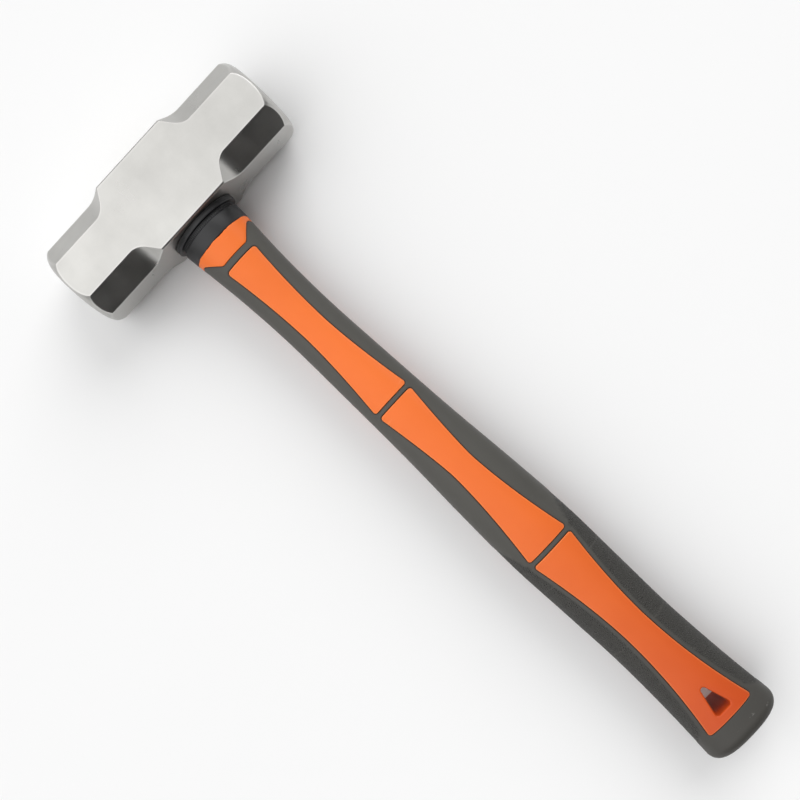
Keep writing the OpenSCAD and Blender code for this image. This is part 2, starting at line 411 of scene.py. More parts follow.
@dataclass(frozen=True)
class HandleForm:
    """Outside of the handle, as a squared oval that changes along it.

    A station is a distance with the half width and the half thickness there.
    """

    stations: tuple[Triple, ...] = (
        (33.0, 15.9, 15.3),
        (58.0, 14.1, 13.4),
        (86.0, 13.35, 12.3),
        (120.0, 14.05, 12.4),
        (160.0, 15.3, 13.1),
        (196.0, 17.15, 14.0),
        (230.0, 18.35, 14.4),
        (262.0, 17.75, 14.0),
        (292.0, 17.25, 13.7),
        (322.0, 18.2, 14.2),
        (SPACE.butt_x - 7.0, 19.95, 15.2),
    )
    squareness: float = 2.4
    butt_x: float = SPACE.butt_x
    butt_r: float = 5.5
    butt_dome: float = 1.9
    corner_turn: float = math.radians(75.0)
    # painted shade toward the butt: how quickly it deepens along the handle
    butt_shade_power: float = 2.5

    @property
    def corner_x(self) -> float:
        """Where the butt's corner starts."""
        return self.butt_x - self.butt_dome - self.butt_r * math.sin(self.corner_turn)

    def _curve(self, x: np.ndarray, column: int) -> np.ndarray:
        """Smooth curve through one column of the stations.

        Args:
            x: Distances along the handle.
            column: 1 for the half widths, 2 for the half thicknesses.

        Returns:
            The curve's value at each distance.
        """
        table = np.array(self.stations)
        at, value = table[:, 0], table[:, column]
        slope = np.empty(len(at))
        slope[1:-1] = (value[2:] - value[:-2]) / (at[2:] - at[:-2])
        slope[0] = (value[1] - value[0]) / (at[1] - at[0])
        slope[-1] = (value[-1] - value[-2]) / (at[-1] - at[-2])
        i = np.clip(np.searchsorted(at, x, side="right") - 1, 0, len(at) - 2)
        h = at[i + 1] - at[i]
        t = (x - at[i]) / h
        return (
            (2 * t**3 - 3 * t**2 + 1) * value[i]
            + (t**3 - 2 * t**2 + t) * h * slope[i]
            + (3 * t**2 - 2 * t**3) * value[i + 1]
            + (t**3 - t**2) * h * slope[i + 1]
        )

    def butt_swing(self, x: np.ndarray) -> np.ndarray:
        """Angle that the butt's rounded corner has turned through at each distance."""
        return np.arcsin(np.clip((x - self.corner_x) / self.butt_r, 0.0, math.sin(self.corner_turn)))

    def butt_shade(self, x: np.ndarray) -> np.ndarray:
        """Share of painted shade at each distance, from 0 at the collar to 1 at the butt; it also sets where
        the scuffs gather.
        """
        start = self.stations[0][0]
        return np.clip((x - start) / (self.butt_x - start), 0.0, 1.0) ** self.butt_shade_power

    def halves(self, x: np.ndarray) -> tuple[np.ndarray, np.ndarray]:
        """Half width and half thickness at each distance, closing over the butt.

        Args:
            x: Distances along the handle.

        Returns:
            The two arrays.
        """
        x = np.asarray(x, float)
        body = np.minimum(x, self.corner_x)
        wide, thick = self._curve(body, 1), self._curve(body, 2)
        inset = self.butt_r * (1 - np.cos(self.butt_swing(x)))
        dome_x = self.butt_x - self.butt_dome
        ratio = np.where(x > dome_x, np.sqrt(np.clip((self.butt_x - x) / self.butt_dome, 0, 1)), 1.0)
        return (wide - inset) * ratio, (thick - inset) * ratio

    def squared(self, turn: np.ndarray) -> tuple[np.ndarray, np.ndarray]:
        """Squared oval of unit size.

        Args:
            turn: Angles round it.

        Returns:
            Places across and up.
        """
        cos, sin, power = np.cos(turn), np.sin(turn), 2 / self.squareness
        return np.sign(cos) * np.abs(cos) ** power, np.sign(sin) * np.abs(sin) ** power

    def height(self, y: np.ndarray, wide: np.ndarray, thick: np.ndarray) -> np.ndarray:
        """Height of the oval over a place across it.

        Args:
            y: Places across the handle.
            wide: Half widths.
            thick: Half thicknesses.

        Returns:
            Heights over the handle's axis.
        """
        share = np.clip(np.abs(y) / np.maximum(wide, 1e-9), 0.0, 1.0)
        return thick * (1 - share**self.squareness) ** (1 / self.squareness)

    def normal(
        self, y: np.ndarray, z: np.ndarray, wide: np.ndarray, thick: np.ndarray
    ) -> tuple[np.ndarray, np.ndarray]:
        """Outward direction of the oval at a point, across and up.

        Args:
            y: Places across the handle.
            z: Heights over its axis.
            wide: Half widths.
            thick: Half thicknesses.

        Returns:
            The two parts of a unit vector.
        """
        p = self.squareness - 1
        ny = np.sign(y) * (np.abs(y) / wide) ** p / wide
        nz = np.sign(z) * (np.abs(z) / thick) ** p / thick
        size = np.maximum(np.hypot(ny, nz), 1e-12)
        return ny / size, nz / size


FORM = HandleForm()


@dataclass(frozen=True)
class Panel:
    """One waisted window in the skin, with the plastic pad that fills it."""

    start: float
    waist: float
    end: float
    half_start: float
    half_waist: float
    half_end: float
    flare_before: float
    flare_after: float
    corner: float = 1.8
    overrun: float = 1.1

    def half(self, x: np.ndarray, grow: float = 0.0) -> np.ndarray:
        """Half width of the window at a distance, with its rounded corners.

        Args:
            x: Distances along the handle.
            grow: How far the outline is pushed outwards.

        Returns:
            Half widths.
        """
        x = np.asarray(x, float)
        before = np.clip((self.waist - x) / (self.waist - self.start), 0.0, self.overrun)
        after = np.clip((x - self.waist) / (self.end - self.waist), 0.0, self.overrun)
        side = (
            self.half_waist
            + (self.half_start - self.half_waist) * before**self.flare_before
            + (self.half_end - self.half_waist) * after**self.flare_after
        )
        r = self.corner + grow
        edge = np.minimum(x - (self.start - grow), (self.end + grow) - x)
        inside = np.clip(r - edge, 0.0, r)
        return side + grow - r + np.sqrt(np.maximum(r * r - inside * inside, 0.0))

    def rows(self, step: float, grow: float = 0.0) -> np.ndarray:
        """Distances for the rows of a sheet that follows the window.

        Args:
            step: Spacing between the corners.
            grow: How far the outline is pushed outwards.

        Returns:
            Rising distances from one end to the other.
        """
        low, high = self.start - grow, self.end + grow
        r = self.corner + grow
        swing = r * (1 - np.cos(np.linspace(0, math.pi / 2, 8)))
        middle = np.linspace(low + r, high - r, max(4, round((high - low) / step)))
        return np.unique(np.round(np.concatenate([low + swing, middle, high - swing]), 5))

    def outline(self, grow: float = 0.0) -> np.ndarray:
        """Closed outline in plan.

        Args:
            grow: How far the outline is pushed outwards.

        Returns:
            M by 2 points, the first repeated at the end.
        """
        x = self.rows(0.8, grow)
        side = np.stack([x, self.half(x, grow)], axis=1)
        return np.concatenate([side, (side * [1, -1])[::-1], side[:1]])

    def covers(self, x: np.ndarray, margin: float) -> np.ndarray:
        """Whether each distance lies between the window's ends, moved out by a margin."""
        return (x >= self.start - margin) & (x <= self.end + margin)


PANELS = (
    Panel(
        start=46.9, waist=92.0, end=138.5,
        half_start=9.2, half_waist=6.4, half_end=10.3, flare_before=1.9, flare_after=1.6,
    ),
    Panel(
        start=140.7, waist=181.0, end=232.8,
        half_start=10.1, half_waist=6.3, half_end=11.9, flare_before=1.35, flare_after=1.65,
    ),
    Panel(
        start=235.0, waist=284.0, end=SPACE.butt_x - 15.0,
        half_start=11.8, half_waist=6.95, half_end=13.4, flare_before=1.75, flare_after=1.95,
    ),
)


@dataclass(frozen=True)
class NeckEdge:
    """Edge of the skin round the neck: straight in front, bevelled back to the sides."""

    points: tuple[Span, ...] = ((43.7, 0.0), (43.7, 7.6), (38.6, 12.3), (36.2, 14.4), (36.2, 20.0))
    softness: float = 0.7

    def at(self, y: np.ndarray) -> np.ndarray:
        """Distance of the edge at a place across the handle, with its corners eased.

        Args:
            y: Places across the handle.

        Returns:
            Distances along the handle.
        """
        xs, ys = np.array(self.points).T
        y = np.abs(np.asarray(y, float))
        spread = np.linspace(-self.softness, self.softness, 7)
        return np.mean([np.interp(np.abs(y + s), ys, xs) for s in spread], axis=0)

    def path(self) -> np.ndarray:
        """The edge in plan, from one side to the other."""
        y = np.linspace(-self.points[-1][1], self.points[-1][1], 161)
        return np.stack([self.at(y), y], axis=1)


NECK = NeckEdge()


@dataclass(frozen=True)
class PalmZone:
    """Grained part of the skin where the palm goes, round the third panel."""

    start_x: float = 221.7
    start_y: float = 16.7
    start_lean: float = -3.6
    start_past: float = 1.2
    end_x: float = 335.5
    end_y: float = 12.5
    end_lean: float = 1.17
    border: Span = (1.3, 2.1)
    soft: float = 1.0

    def share(self, x: np.ndarray, y: np.ndarray) -> np.ndarray:
        """How far a point lies inside the zone, from 0 to 1.

        Args:
            x: Distances along the handle.
            y: Places across it.

        Returns:
            Shares.
        """
        y = np.abs(y)
        low = self.start_x + self.start_lean * np.minimum(y - self.start_y, self.start_past)
        high = self.end_x + self.end_lean * (y - self.end_y)
        panel = PANELS[-1]
        gap = distance_to_path(x, y, panel.outline())
        beside = y > panel.half(np.clip(x, panel.start, panel.end))
        near = np.where(beside | ~panel.covers(x, 0.0), ease(*self.border, gap), 0.0)
        return ease(0, self.soft, x - low) * ease(0, 2 * self.soft, high - x) * near


PALM = PalmZone()


@dataclass(frozen=True)
class HangingHole:
    """Triangular hole through the butt, pointed toward the head."""

    length: float = 13.4
    width: float = 8.4
    corner: float = 1.3
    stop: float = 19.3
    lip: float = 0.8

    @property
    def base_x(self) -> float:
        """Distance of the hole's wide end."""
        return SPACE.butt_x - self.stop

    def outline(self, grow: float = 0.0) -> np.ndarray:
        """Closed outline in plan.

        Args:
            grow: How far the outline is pushed outwards.

        Returns:
            M by 2 points, the first repeated at the end.
        """
        r = self.corner + grow
        apex = (self.base_x - self.length + self.corner, 0.0)
        side = self.width / 2 - self.corner
        base = self.base_x - self.corner
        lean = math.atan2(side, base - apex[0])
        arcs = (
            (apex, math.pi / 2 + lean, math.pi * 1.5 - lean),
            ((base, -side), -math.pi / 2 - lean, 0.0),
            ((base, side), 0.0, math.pi / 2 + lean),
        )
        points = [
            (c[0] + r * math.cos(t), c[1] + r * math.sin(t))
            for c, low, high in arcs
            for t in np.linspace(low, high, 13)
        ]
        return np.array(points + points[:1])


HOLE = HangingHole()


# ---- finishes -----------------------------------------------------------------------------


Value = Socket | float
Tint = Socket | Colour
NOISE_SPAN = (0.3, 0.7)


class Sum(Enum):
    """Arithmetic that a finish needs, by Blender's names."""

    PLUS = "ADD"
    TIMES = "MULTIPLY"


class CellShape(Enum):
    """How the cells of a pattern meet, by Blender's names."""

    CRISP = "F1"
    ROUNDED = "SMOOTH_F1"


class NodeBook:
    """Writes a material's nodes and links in short calls."""

    MIX_COLOURS = (6, 7)
    MIX_RESULT = 2

    def __init__(self, name: str, ior: float | None = None) -> None:
        """Starts an empty material with a principled surface.

        Args:
            name: Name of the material.
            ior: Index of refraction, where the material isn't a metal.
        """
        self.material = bpy.data.materials.new(name)
        self.material.use_nodes = True
        self.tree = self.material.node_tree
        self.tree.nodes.clear()
        output = self.tree.nodes.new("ShaderNodeOutputMaterial")
        self.surface = self.tree.nodes.new("ShaderNodeBsdfPrincipled")
        self.link(self.surface.outputs["BSDF"], output.inputs["Surface"])
        self.coords = self.tree.nodes.new("ShaderNodeTexCoord").outputs["Object"]
        if ior:
            self.surface.inputs["IOR"].default_value = ior

    def link(self, source: Socket, target: Socket) -> None:
        """Joins two sockets."""
        self.tree.links.new(source, target)

    def stretched(self, scale: Triple) -> Socket:
        """Object coordinates scaled by a different amount along each axis.

        Args:
            scale: The three amounts.

        Returns:
            The coordinates' socket.
        """
        node = self.tree.nodes.new("ShaderNodeMapping")
        node.inputs["Scale"].default_value = scale
        self.link(self.coords, node.inputs["Vector"])
        return node.outputs["Vector"]

    def noise(
        self, scale: float, detail: float = 4.0, rough: float = 0.55, vector: Socket | None = None
    ) -> Socket:
        """Noise from 0 to 1.

        Args:
            scale: Waves in a metre.
            detail: Octaves.
            rough: Share that each octave keeps.
            vector: Coordinates in place of the object's own.

        Returns:
            The noise's socket.
        """
        node = self.tree.nodes.new("ShaderNodeTexNoise")
        node.inputs["Scale"].default_value = scale
        node.inputs["Detail"].default_value = detail
        node.inputs["Roughness"].default_value = rough
        self.link(vector or self.coords, node.inputs["Vector"])
        return node.outputs["Fac"]

    def cells(
        self, scale: float, shape: CellShape = CellShape.CRISP, vector: Socket | None = None
    ) -> Socket:
        """Distance to the points of a cell pattern.

        Args:
            scale: Cells in a metre.
            shape: How the cells meet.
            vector: Coordinates in place of the object's own.

        Returns:
            The distance's socket.
        """
        node = self.tree.nodes.new("ShaderNodeTexVoronoi")
        node.feature = shape.value
        node.inputs["Scale"].default_value = scale
        self.link(vector or self.coords, node.inputs["Vector"])
        return node.outputs["Distance"]

    def attribute(self, name: str) -> Socket:
        """A number stored on the mesh.

        Args:
            name: Name it was stored under.

        Returns:
            The number's socket, nought on a mesh that doesn't have it.
        """
        node = self.tree.nodes.new("ShaderNodeAttribute")
        node.attribute_name = name
        return node.outputs["Fac"]

    def remap(self, value: Socket, span: Span = NOISE_SPAN, to: Span = (0.0, 1.0)) -> Socket:
        """Value stretched from one span to another and clamped.

        Args:
            value: Socket to remap.
            span: Incoming span, which is where most of a noise lies if not given.
            to: Outgoing span.

        Returns:
            The remapped socket.
        """
        node = self.tree.nodes.new("ShaderNodeMapRange")
        for name, number in zip(("From Min", "From Max", "To Min", "To Max"), (*span, *to)):
            node.inputs[name].default_value = number
        self.link(value, node.inputs["Value"])
        return node.outputs["Result"]

    def math(self, operation: Sum, a: Value, b: Value) -> Socket:
        """Arithmetic on two sockets or numbers.

        Args:
            operation: What is done to them.
            a: First term.
            b: Second term.

        Returns:
            The result's socket.
        """
        node = self.tree.nodes.new("ShaderNodeMath")
        node.operation = operation.value
        for socket, value in zip(node.inputs, (a, b)):
            if isinstance(value, Socket):
                self.link(value, socket)
            else:
                socket.default_value = value
        return node.outputs["Value"]

    def marked(self, name: str, share: Value) -> Socket:
        """A number stored on the mesh, times a share."""
        return self.math(Sum.TIMES, self.attribute(name), share)

    def mix(self, share: Socket, a: Tint, b: Tint) -> Socket:
        """Colour between two colours.

        Args:
            share: How much of the second colour there is.
            a: First colour or its socket.
            b: Second colour or its socket.

        Returns:
            The colour's socket.
        """
        node = self.tree.nodes.new("ShaderNodeMix")
        node.data_type = "RGBA"
        self.link(share, node.inputs["Factor"])
        for index, value in zip(self.MIX_COLOURS, (a, b)):
            if isinstance(value, Socket):
                self.link(value, node.inputs[index])
            else:
                node.inputs[index].default_value = (*value, 1.0)
        return node.outputs[self.MIX_RESULT]

    def bump(self, height: Socket, depth: float, strength: float, under: Socket | None = None) -> Socket:
        """Bumped normal.

        Args:
            height: Socket from 0 to 1.
            depth: Height of the bump in millimetres.
            strength: Share of the bump that shows.
            under: Normal to bump on, in place of the surface's own.

        Returns:
            The normal's socket.
        """
        node = self.tree.nodes.new("ShaderNodeBump")
        node.inputs["Distance"].default_value = depth * MM
        node.inputs["Strength"].default_value = strength
        self.link(height, node.inputs["Height"])
        if under:
            self.link(under, node.inputs["Normal"])
        return node.outputs["Normal"]

    def finish(self, colour: Socket, roughness: Socket, normal: Socket | None = None) -> Material:
        """Plugs the colour, roughness and normal into the surface.

        Args:
            colour: Base colour.
            roughness: Roughness.
            normal: Bumped normal, if any.

        Returns:
            The finished material.
        """
        for name, value in (("Base Color", colour), ("Roughness", roughness), ("Normal", normal)):
            if value is not None:
                self.link(value, self.surface.inputs[name])
        return self.material


@dataclass(frozen=True)
class GroundSteel:
    """Forged steel, ground satin and lightly oiled."""

    tone: Colour = (0.51, 0.504, 0.485)
    shade: Colour = (0.425, 0.419, 0.402)
    # painted highlight: the colour of the head's edges
    bright: Colour = (0.55, 0.543, 0.525)
    roughness: Span = (0.23, 0.39)

    def build(self) -> Material:
        """Builds the material.

        Returns:
            The material, with a painted highlight where the mesh has "edge".
        """
        book = NodeBook("ground_steel")
        book.surface.inputs["Metallic"].default_value = 1.0
        cloud = book.noise(38.0, detail=5.0, rough=0.6)
        strokes = book.noise(90.0, detail=3.0, rough=0.5, vector=book.stretched((0.35, 1.0, 0.35)))
        colour = book.mix(book.remap(cloud), self.shade, self.tone)
        # painted highlight along the edges, stronger where the noise is high
        edge_shading_and_scratch = book.remap(cloud, span=(0.3, 0.62), to=(0.45, 1.0))
        colour = book.mix(book.marked("edge", edge_shading_and_scratch), colour, self.bright)
        rough = book.remap(book.math(Sum.PLUS, strokes, cloud), span=(0.6, 1.4), to=self.roughness)
        return book.finish(colour, rough, book.bump(strokes, depth=0.04, strength=0.4))


@dataclass(frozen=True)
class MouldedOrange:
    """Satin polypropylene with painted shade toward the butt, a painted highlight along the pads' edges and a
    few fine scratches.
    """

    pale: Colour = (0.88, 0.176, 0.022)
    # painted shade: the orange at the butt end, where less light falls
    deep: Colour = (0.52, 0.056, 0.005)
    # painted highlight along the pads' edges; the fine scratches take the same pale colour
    edge_shading_and_scratch: Colour = (0.97, 0.34, 0.12)
    roughness: Span = (0.37, 0.48)
    glow: float = 0.05
    glow_reach: Triple = (0.004, 0.0015, 0.0006)

    def build(self) -> Material:
        """Builds the material.

        Returns:
            The material, with painted shade where "along" is high and a painted highlight where "edge" is.
        """
        book = NodeBook("orange_plastic", ior=1.49)
        book.surface.inputs["Specular IOR Level"].default_value = 0.36
        book.surface.inputs["Subsurface Weight"].default_value = self.glow
        book.surface.inputs["Subsurface Radius"].default_value = self.glow_reach
        cloud = book.noise(26.0, detail=3.0)
        grain = book.noise(2400.0, detail=3.0, rough=0.6)
        # painted shade: the orange deepens toward the butt, with a little noise
        depth = book.math(Sum.PLUS, book.attribute("along"), book.remap(cloud, to=(-0.06, 0.06)))
        colour = book.mix(depth, self.pale, self.deep)
        # painted highlight along the pads' edges
        colour = book.mix(book.marked("edge", 0.3), colour, self.edge_shading_and_scratch)
        # fine scratches, real wear
        scratch = book.noise(240.0, detail=2.0, rough=0.6, vector=book.stretched((1.0, 0.16, 0.16)))
        colour = book.mix(book.remap(scratch, span=(0.74, 0.8), to=(0.0, 0.35)), colour, self.edge_shading_and_scratch)
        rough = book.remap(cloud, to=self.roughness)
        return book.finish(colour, rough, book.bump(grain, depth=0.02, strength=0.25))


@dataclass(frozen=True)
class GreyRubber:
    """Soft grey thermoplastic rubber with a fine moulded grain and scuffs from the hand, and painted shade
    toward the butt, in the grain and along the edges.
    """

    tone: Colour = (0.067, 0.064, 0.056)
    pale: Colour = (0.09, 0.087, 0.078)
    # painted shade along the skin's edges, where they fall into the gaps round the windows
    rim: Colour = (0.04, 0.037, 0.032)
    # painted shade between the pebbles of the palm grain
    painted_valley_shade: Colour = (0.034, 0.0325, 0.029)
    # painted shade: the grey rubber's colour at the butt end, where less light falls
    butt_shade: Colour = (0.045, 0.042, 0.037)
    scuff: Colour = (0.2, 0.195, 0.185)
    roughness: Span = (0.56, 0.68)
    name: str = "grey_rubber"

    def build(self) -> Material:
        """Builds the material.

        Returns:
            The material, which follows "grain", "edge" and "along" on the mesh.
        """
        book = NodeBook(self.name, ior=1.47)
        cloud = book.noise(30.0)
        smooth = book.noise(1500.0, detail=2.0, rough=0.5)
        pebble = book.cells(1500.0, CellShape.ROUNDED)
        scuffs = book.noise(310.0, detail=3.0, rough=0.65, vector=book.stretched((1.0, 0.5, 0.8)))
        colour = book.mix(book.remap(cloud, to=(0.0, 0.6)), self.tone, self.pale)
        # painted shade: the skin darkens toward the butt
        colour = book.mix(book.marked("along", 0.8), colour, self.butt_shade)
        # scuffs, real wear: pale marks that gather toward the butt
        marks = book.remap(scuffs, span=(0.66, 0.73), to=(0.0, 0.5))
        colour = book.mix(book.marked("along", marks), colour, self.scuff)
        # painted shade: the grained zones darken as if shaded by the pebbles
        colour = book.mix(book.marked("grain", 0.8), colour, self.painted_valley_shade)
        # painted shade along the skin's edges round the windows and the neck
        colour = book.mix(book.marked("edge", 0.6), colour, self.rim)
        rough = book.remap(cloud, to=self.roughness)
        normal = book.bump(smooth, depth=0.04, strength=0.3)
        height = book.marked("grain", book.remap(pebble, span=(0.1, 0.6), to=(1.0, 0.0)))
        return book.finish(colour, rough, book.bump(height, depth=0.16, strength=0.8, under=normal))


@dataclass(frozen=True)
class BlackRubber:
    """Moulded black rubber of the collar, with a dull bloom."""

    tone: Colour = (0.006, 0.006, 0.007)
    bloom: Colour = (0.015, 0.015, 0.0165)
    roughness: Span = (0.35, 0.53)

    def build(self) -> Material:
        """Builds the material.

        Returns:
            The material.
        """
        book = NodeBook("black_rubber", ior=1.5)
        cloud = book.noise(120.0, detail=5.0, rough=0.6)
        grain = book.noise(1900.0, detail=3.0)
        colour = book.mix(book.remap(cloud, span=(0.35, 0.7)), self.tone, self.bloom)
        rough = book.remap(cloud, to=self.roughness)
        return book.finish(colour, rough, book.bump(grain, depth=0.03, strength=0.35))


@dataclass(frozen=True)
class CastResin:
    """Dark cast resin that fills the eye, with a few pinholes."""

    tone: Colour = (0.035, 0.032, 0.028)
    pale: Colour = (0.075, 0.068, 0.058)
    roughness: Span = (0.22, 0.42)

    def build(self) -> Material:
        """Builds the material.

        Returns:
            The material.
        """
        book = NodeBook("cast_resin", ior=1.55)
        cloud = book.noise(160.0, detail=5.0, rough=0.6)
        pinholes = book.remap(book.cells(900.0), span=(0.0, 0.14))
        colour = book.mix(book.remap(cloud), self.tone, self.pale)
        rough = book.remap(cloud, to=self.roughness)
        waves = book.bump(cloud, depth=0.5, strength=0.4)
        return book.finish(colour, rough, book.bump(pinholes, depth=0.3, strength=0.6, under=waves))


@dataclass(frozen=True)
class SawnFibreglass:
    """Sawn end of a fibreglass rod: cut strands in amber resin, with saw marks across."""

    strand: Colour = (0.74, 0.66, 0.42)
    amber: Colour = (0.45, 0.34, 0.15)
    roughness: Span = (0.45, 0.7)

    def build(self) -> Material:
        """Builds the material.

        Returns:
            The material.
        """
        book = NodeBook("fibreglass", ior=1.54)
        bundle = book.cells(900.0, vector=book.stretched((0.02, 1.0, 1.0)))
        saw = book.noise(900.0, detail=3.0, rough=0.6, vector=book.stretched((1.0, 0.08, 1.0)))
        cloud = book.noise(240.0, detail=3.0)
        strands = book.remap(bundle, span=(0.1, 0.6), to=(1.0, 0.0))
        share = book.math(Sum.TIMES, strands, book.remap(cloud, to=(0.6, 1.0)))
        colour = book.mix(share, self.amber, self.strand)
        rough = book.remap(saw, to=self.roughness)
        ends = book.bump(bundle, depth=0.1, strength=0.4)
        return book.finish(colour, rough, book.bump(saw, depth=0.15, strength=0.6, under=ends))


@dataclass(frozen=True)
class PaleFloor:
    """Plain pale floor of the studio."""

    tone: Colour = (0.88, 0.88, 0.88)
    cloud_tone: Colour = (0.8668, 0.8668, 0.8668)
    roughness: Span = (0.8, 0.9)

    def build(self) -> Material:
        """Builds the material.

        Returns:
            The material.
        """
        book = NodeBook("pale_floor")
        book.surface.inputs["Specular IOR Level"].default_value = 0.0
        cloud = book.noise(3.0, detail=2.0)
        return book.finish(book.mix(cloud, self.tone, self.cloud_tone), book.remap(cloud, to=self.roughness))


# ---- the head -----------------------------------------------------------------------------


@dataclass(frozen=True)
class Eye:
    """Waisted eye through the head, longer along the head than across it."""

    shift: float = 4.5
    mouth_r: float = 11.0
    waist_r: float = 10.0

    def ring(self, x: float, grow: float, count: int) -> np.ndarray:
        """Ring of the eye's wall.

        Args:
            x: Place along the handle, the eye being widest at both mouths.
            grow: How far the wall is pushed outwards.
            count: Number of points.

        Returns:
            N by 3 points.
        """
        turn = turns(count)
        r = self.waist_r + (self.mouth_r - self.waist_r) * min(abs(x) / (SPACE.head_w / 2), 1.0) + grow
        shift = np.where(np.cos(turn) >= 0, self.shift, -self.shift)
        return ring(x, shift + r * np.cos(turn), r * np.sin(turn))


EYE = Eye()


@dataclass(frozen=True)
class ForgedHead:
    """Double-faced head: a square block round the eye and eight-sided ends with turned faces."""

    flat_w: float = 21.0
    block_l: float = 39.0
    scoop_r: float = 10.0
    scoop_slope: float = math.radians(45.0)
    scoop_blend: float = 0.5
    rim_r: float = 7.0
    crown_r: float = 180.0
    rim_spare: float = 0.5
    edge_r: float = 0.6
    corner_break: float = 0.5
    band: float = 0.7
    eye_ease: float = 0.6
    eye_points: int = 72
    side_stops: tuple[int, int] = (11, 7)
    # painted highlight: how far it reaches in from the head's edges
    edge_shading_and_scratch: Span = (0.15, 0.6)
    finish: GroundSteel = GroundSteel()

    @property
    def half(self) -> float:
        """Half of the head's width."""
        return SPACE.head_w / 2

    @property
    def depth(self) -> float:
        """Depth of the ground chamfer under the block's corner."""
        return (SPACE.head_w - self.flat_w) / 2 / math.sqrt(2)

    @property
    def flat_y(self) -> float:
        """Where the scoops run out into the chamfers, along the head."""
        lean = self.scoop_slope
        return self.block_l / 2 + self.depth / math.tan(lean) + self.scoop_r * math.tan(lean / 2)

    def flat_half(self, y: float) -> float:
        """Half width of a flat side at a place along the head.

        Args:
            y: Distance from the middle.

        Returns:
            Half width, which the scoops take down from the block's to the ends'.
        """
        r, lean, blend = self.scoop_r, self.scoop_slope, self.scoop_blend
        ramp_y = self.flat_y - r * math.sin(lean)
        if y >= self.flat_y:
            deep = self.depth
        elif y >= ramp_y:
            deep = self.depth - r + math.sqrt(r * r - (self.flat_y - y) ** 2)
        else:
            deep = self.depth - r * (1 - math.cos(lean)) - (ramp_y - y) * math.tan(lean)
        share = min(max(0.5 + 0.5 * (deep - self.corner_break) / blend, 0.0), 1.0)
        deep = self.corner_break + (deep - self.corner_break) * share + blend * share * (1 - share) / 2
        return self.half - math.sqrt(2) * min(deep, self.depth)

    def section(self, flat_half: float) -> np.ndarray:
        """Eight-sided section with eased corners, its points closer near them.

        Args:
            flat_half: Half width of its flats.

        Returns:
            N by 2 points as (across, up).
        """
        h, w = self.half, flat_half
        corners = np.array([(h, -w), (h, w), (w, h), (-w, h), (-h, w), (-h, -w), (-w, -h), (w, -h)])
        trim = self.edge_r * math.tan(math.radians(22.5))
        points = []
        for k in range(8):
            a, b, c = corners[k], corners[(k + 1) % 8], corners[(k + 2) % 8]
            out, turn = (b - a) / np.linalg.norm(b - a), (c - b) / np.linalg.norm(c - b)
            length = np.linalg.norm(b - a) - 2 * trim
            band = min(self.band, 0.3 * length)
            inner = np.linspace(band, length - band, self.side_stops[k % 2])
            points += [a + out * (trim + s) for s in (0.0, *inner, length)]
            before, after = b - out * trim, b + turn * trim
            points += [(1 - t) ** 2 * before + 2 * t * (1 - t) * b + t * t * after for t in (0.25, 0.5, 0.75)]
        return np.array(points)

    def _turned(self, reach: np.ndarray) -> tuple[np.ndarray, np.ndarray]:
        """Height of the turned end at a distance from its axis, and its lean.

        Args:
            reach: Distances from the head's long axis.

        Returns:
            Places along the head, and the surface's angle from square.
        """
        rim_at = math.hypot(SPACE.head_w, self.flat_w) / 2 + self.rim_spare - self.rim_r
        dome_y = SPACE.head_l / 2 - self.crown_r
        rim_y = dome_y + math.sqrt((self.crown_r - self.rim_r) ** 2 - rim_at**2)
        dome_edge = rim_at * self.crown_r / (self.crown_r - self.rim_r)
        lean = np.arcsin(np.clip((reach - rim_at) / self.rim_r, 0.0, 1.0))
        rim = rim_y + self.rim_r * np.cos(lean)
        dome = dome_y + np.sqrt(self.crown_r**2 - reach**2)
        return np.where(reach > dome_edge, rim, dome), np.where(reach > dome_edge, lean, reach / self.crown_r)

    def _face_rings(self, flat: np.ndarray) -> list[tuple[np.ndarray, np.ndarray]]:
        """Rings of one end, from the foot of its chamfers to the centre of its face.

        Args:
            flat: Section of the end, as N by 2 points.

        Returns:
            Pairs of the section's points and their places along the head.
        """
        reach = np.hypot(*flat.T)
        rim_y, lean = self._turned(reach)
        trim = self.edge_r * np.tan((math.pi / 2 - lean) / 2)
        stop = rim_y - trim
        rings = []
        for t in np.linspace(0.0, 1.0, 7):
            rings.append((flat, self.flat_y + t * (stop - self.band - self.flat_y)))
        for t in np.linspace(0.0, 1.0, 5):
            inward = t * t * trim * np.cos(lean)
            y = (1 - t) ** 2 * stop + 2 * t * (1 - t) * rim_y + t * t * (rim_y + trim * np.sin(lean))
            rings.append((flat * (1 - inward / reach)[:, None], y))
        last = reach - trim * np.cos(lean)
        for share in (1 - self.band / 20, *np.linspace(0.94, 0.76, 8), *np.linspace(0.68, 0.0, 7)):
            rings.append((flat * (last * share / reach)[:, None], self._turned(last * share)[0]))
        return rings

    def _half_head(self) -> list[np.ndarray]:
        """Rings of one half, from the middle of the head to the centre of its face.

        Returns:
            N by 3 arrays, each a ring round the head's long axis.
        """
        bend = self.block_l / 2
        rows = (
            0.0, 8.0, 14.0, bend - 2.0, *np.linspace(bend - 1.0, bend + 1.4, 9),
            *np.linspace(bend + 2.0, self.flat_y, 18)[:-1],
        )
        rings = [(self.section(self.flat_half(y)), y) for y in rows]
        rings += self._face_rings(self.section(self.flat_half(self.flat_y)))
        return [ring(y, *flat.T)[:, [1, 0, 2]] for flat, y in rings]

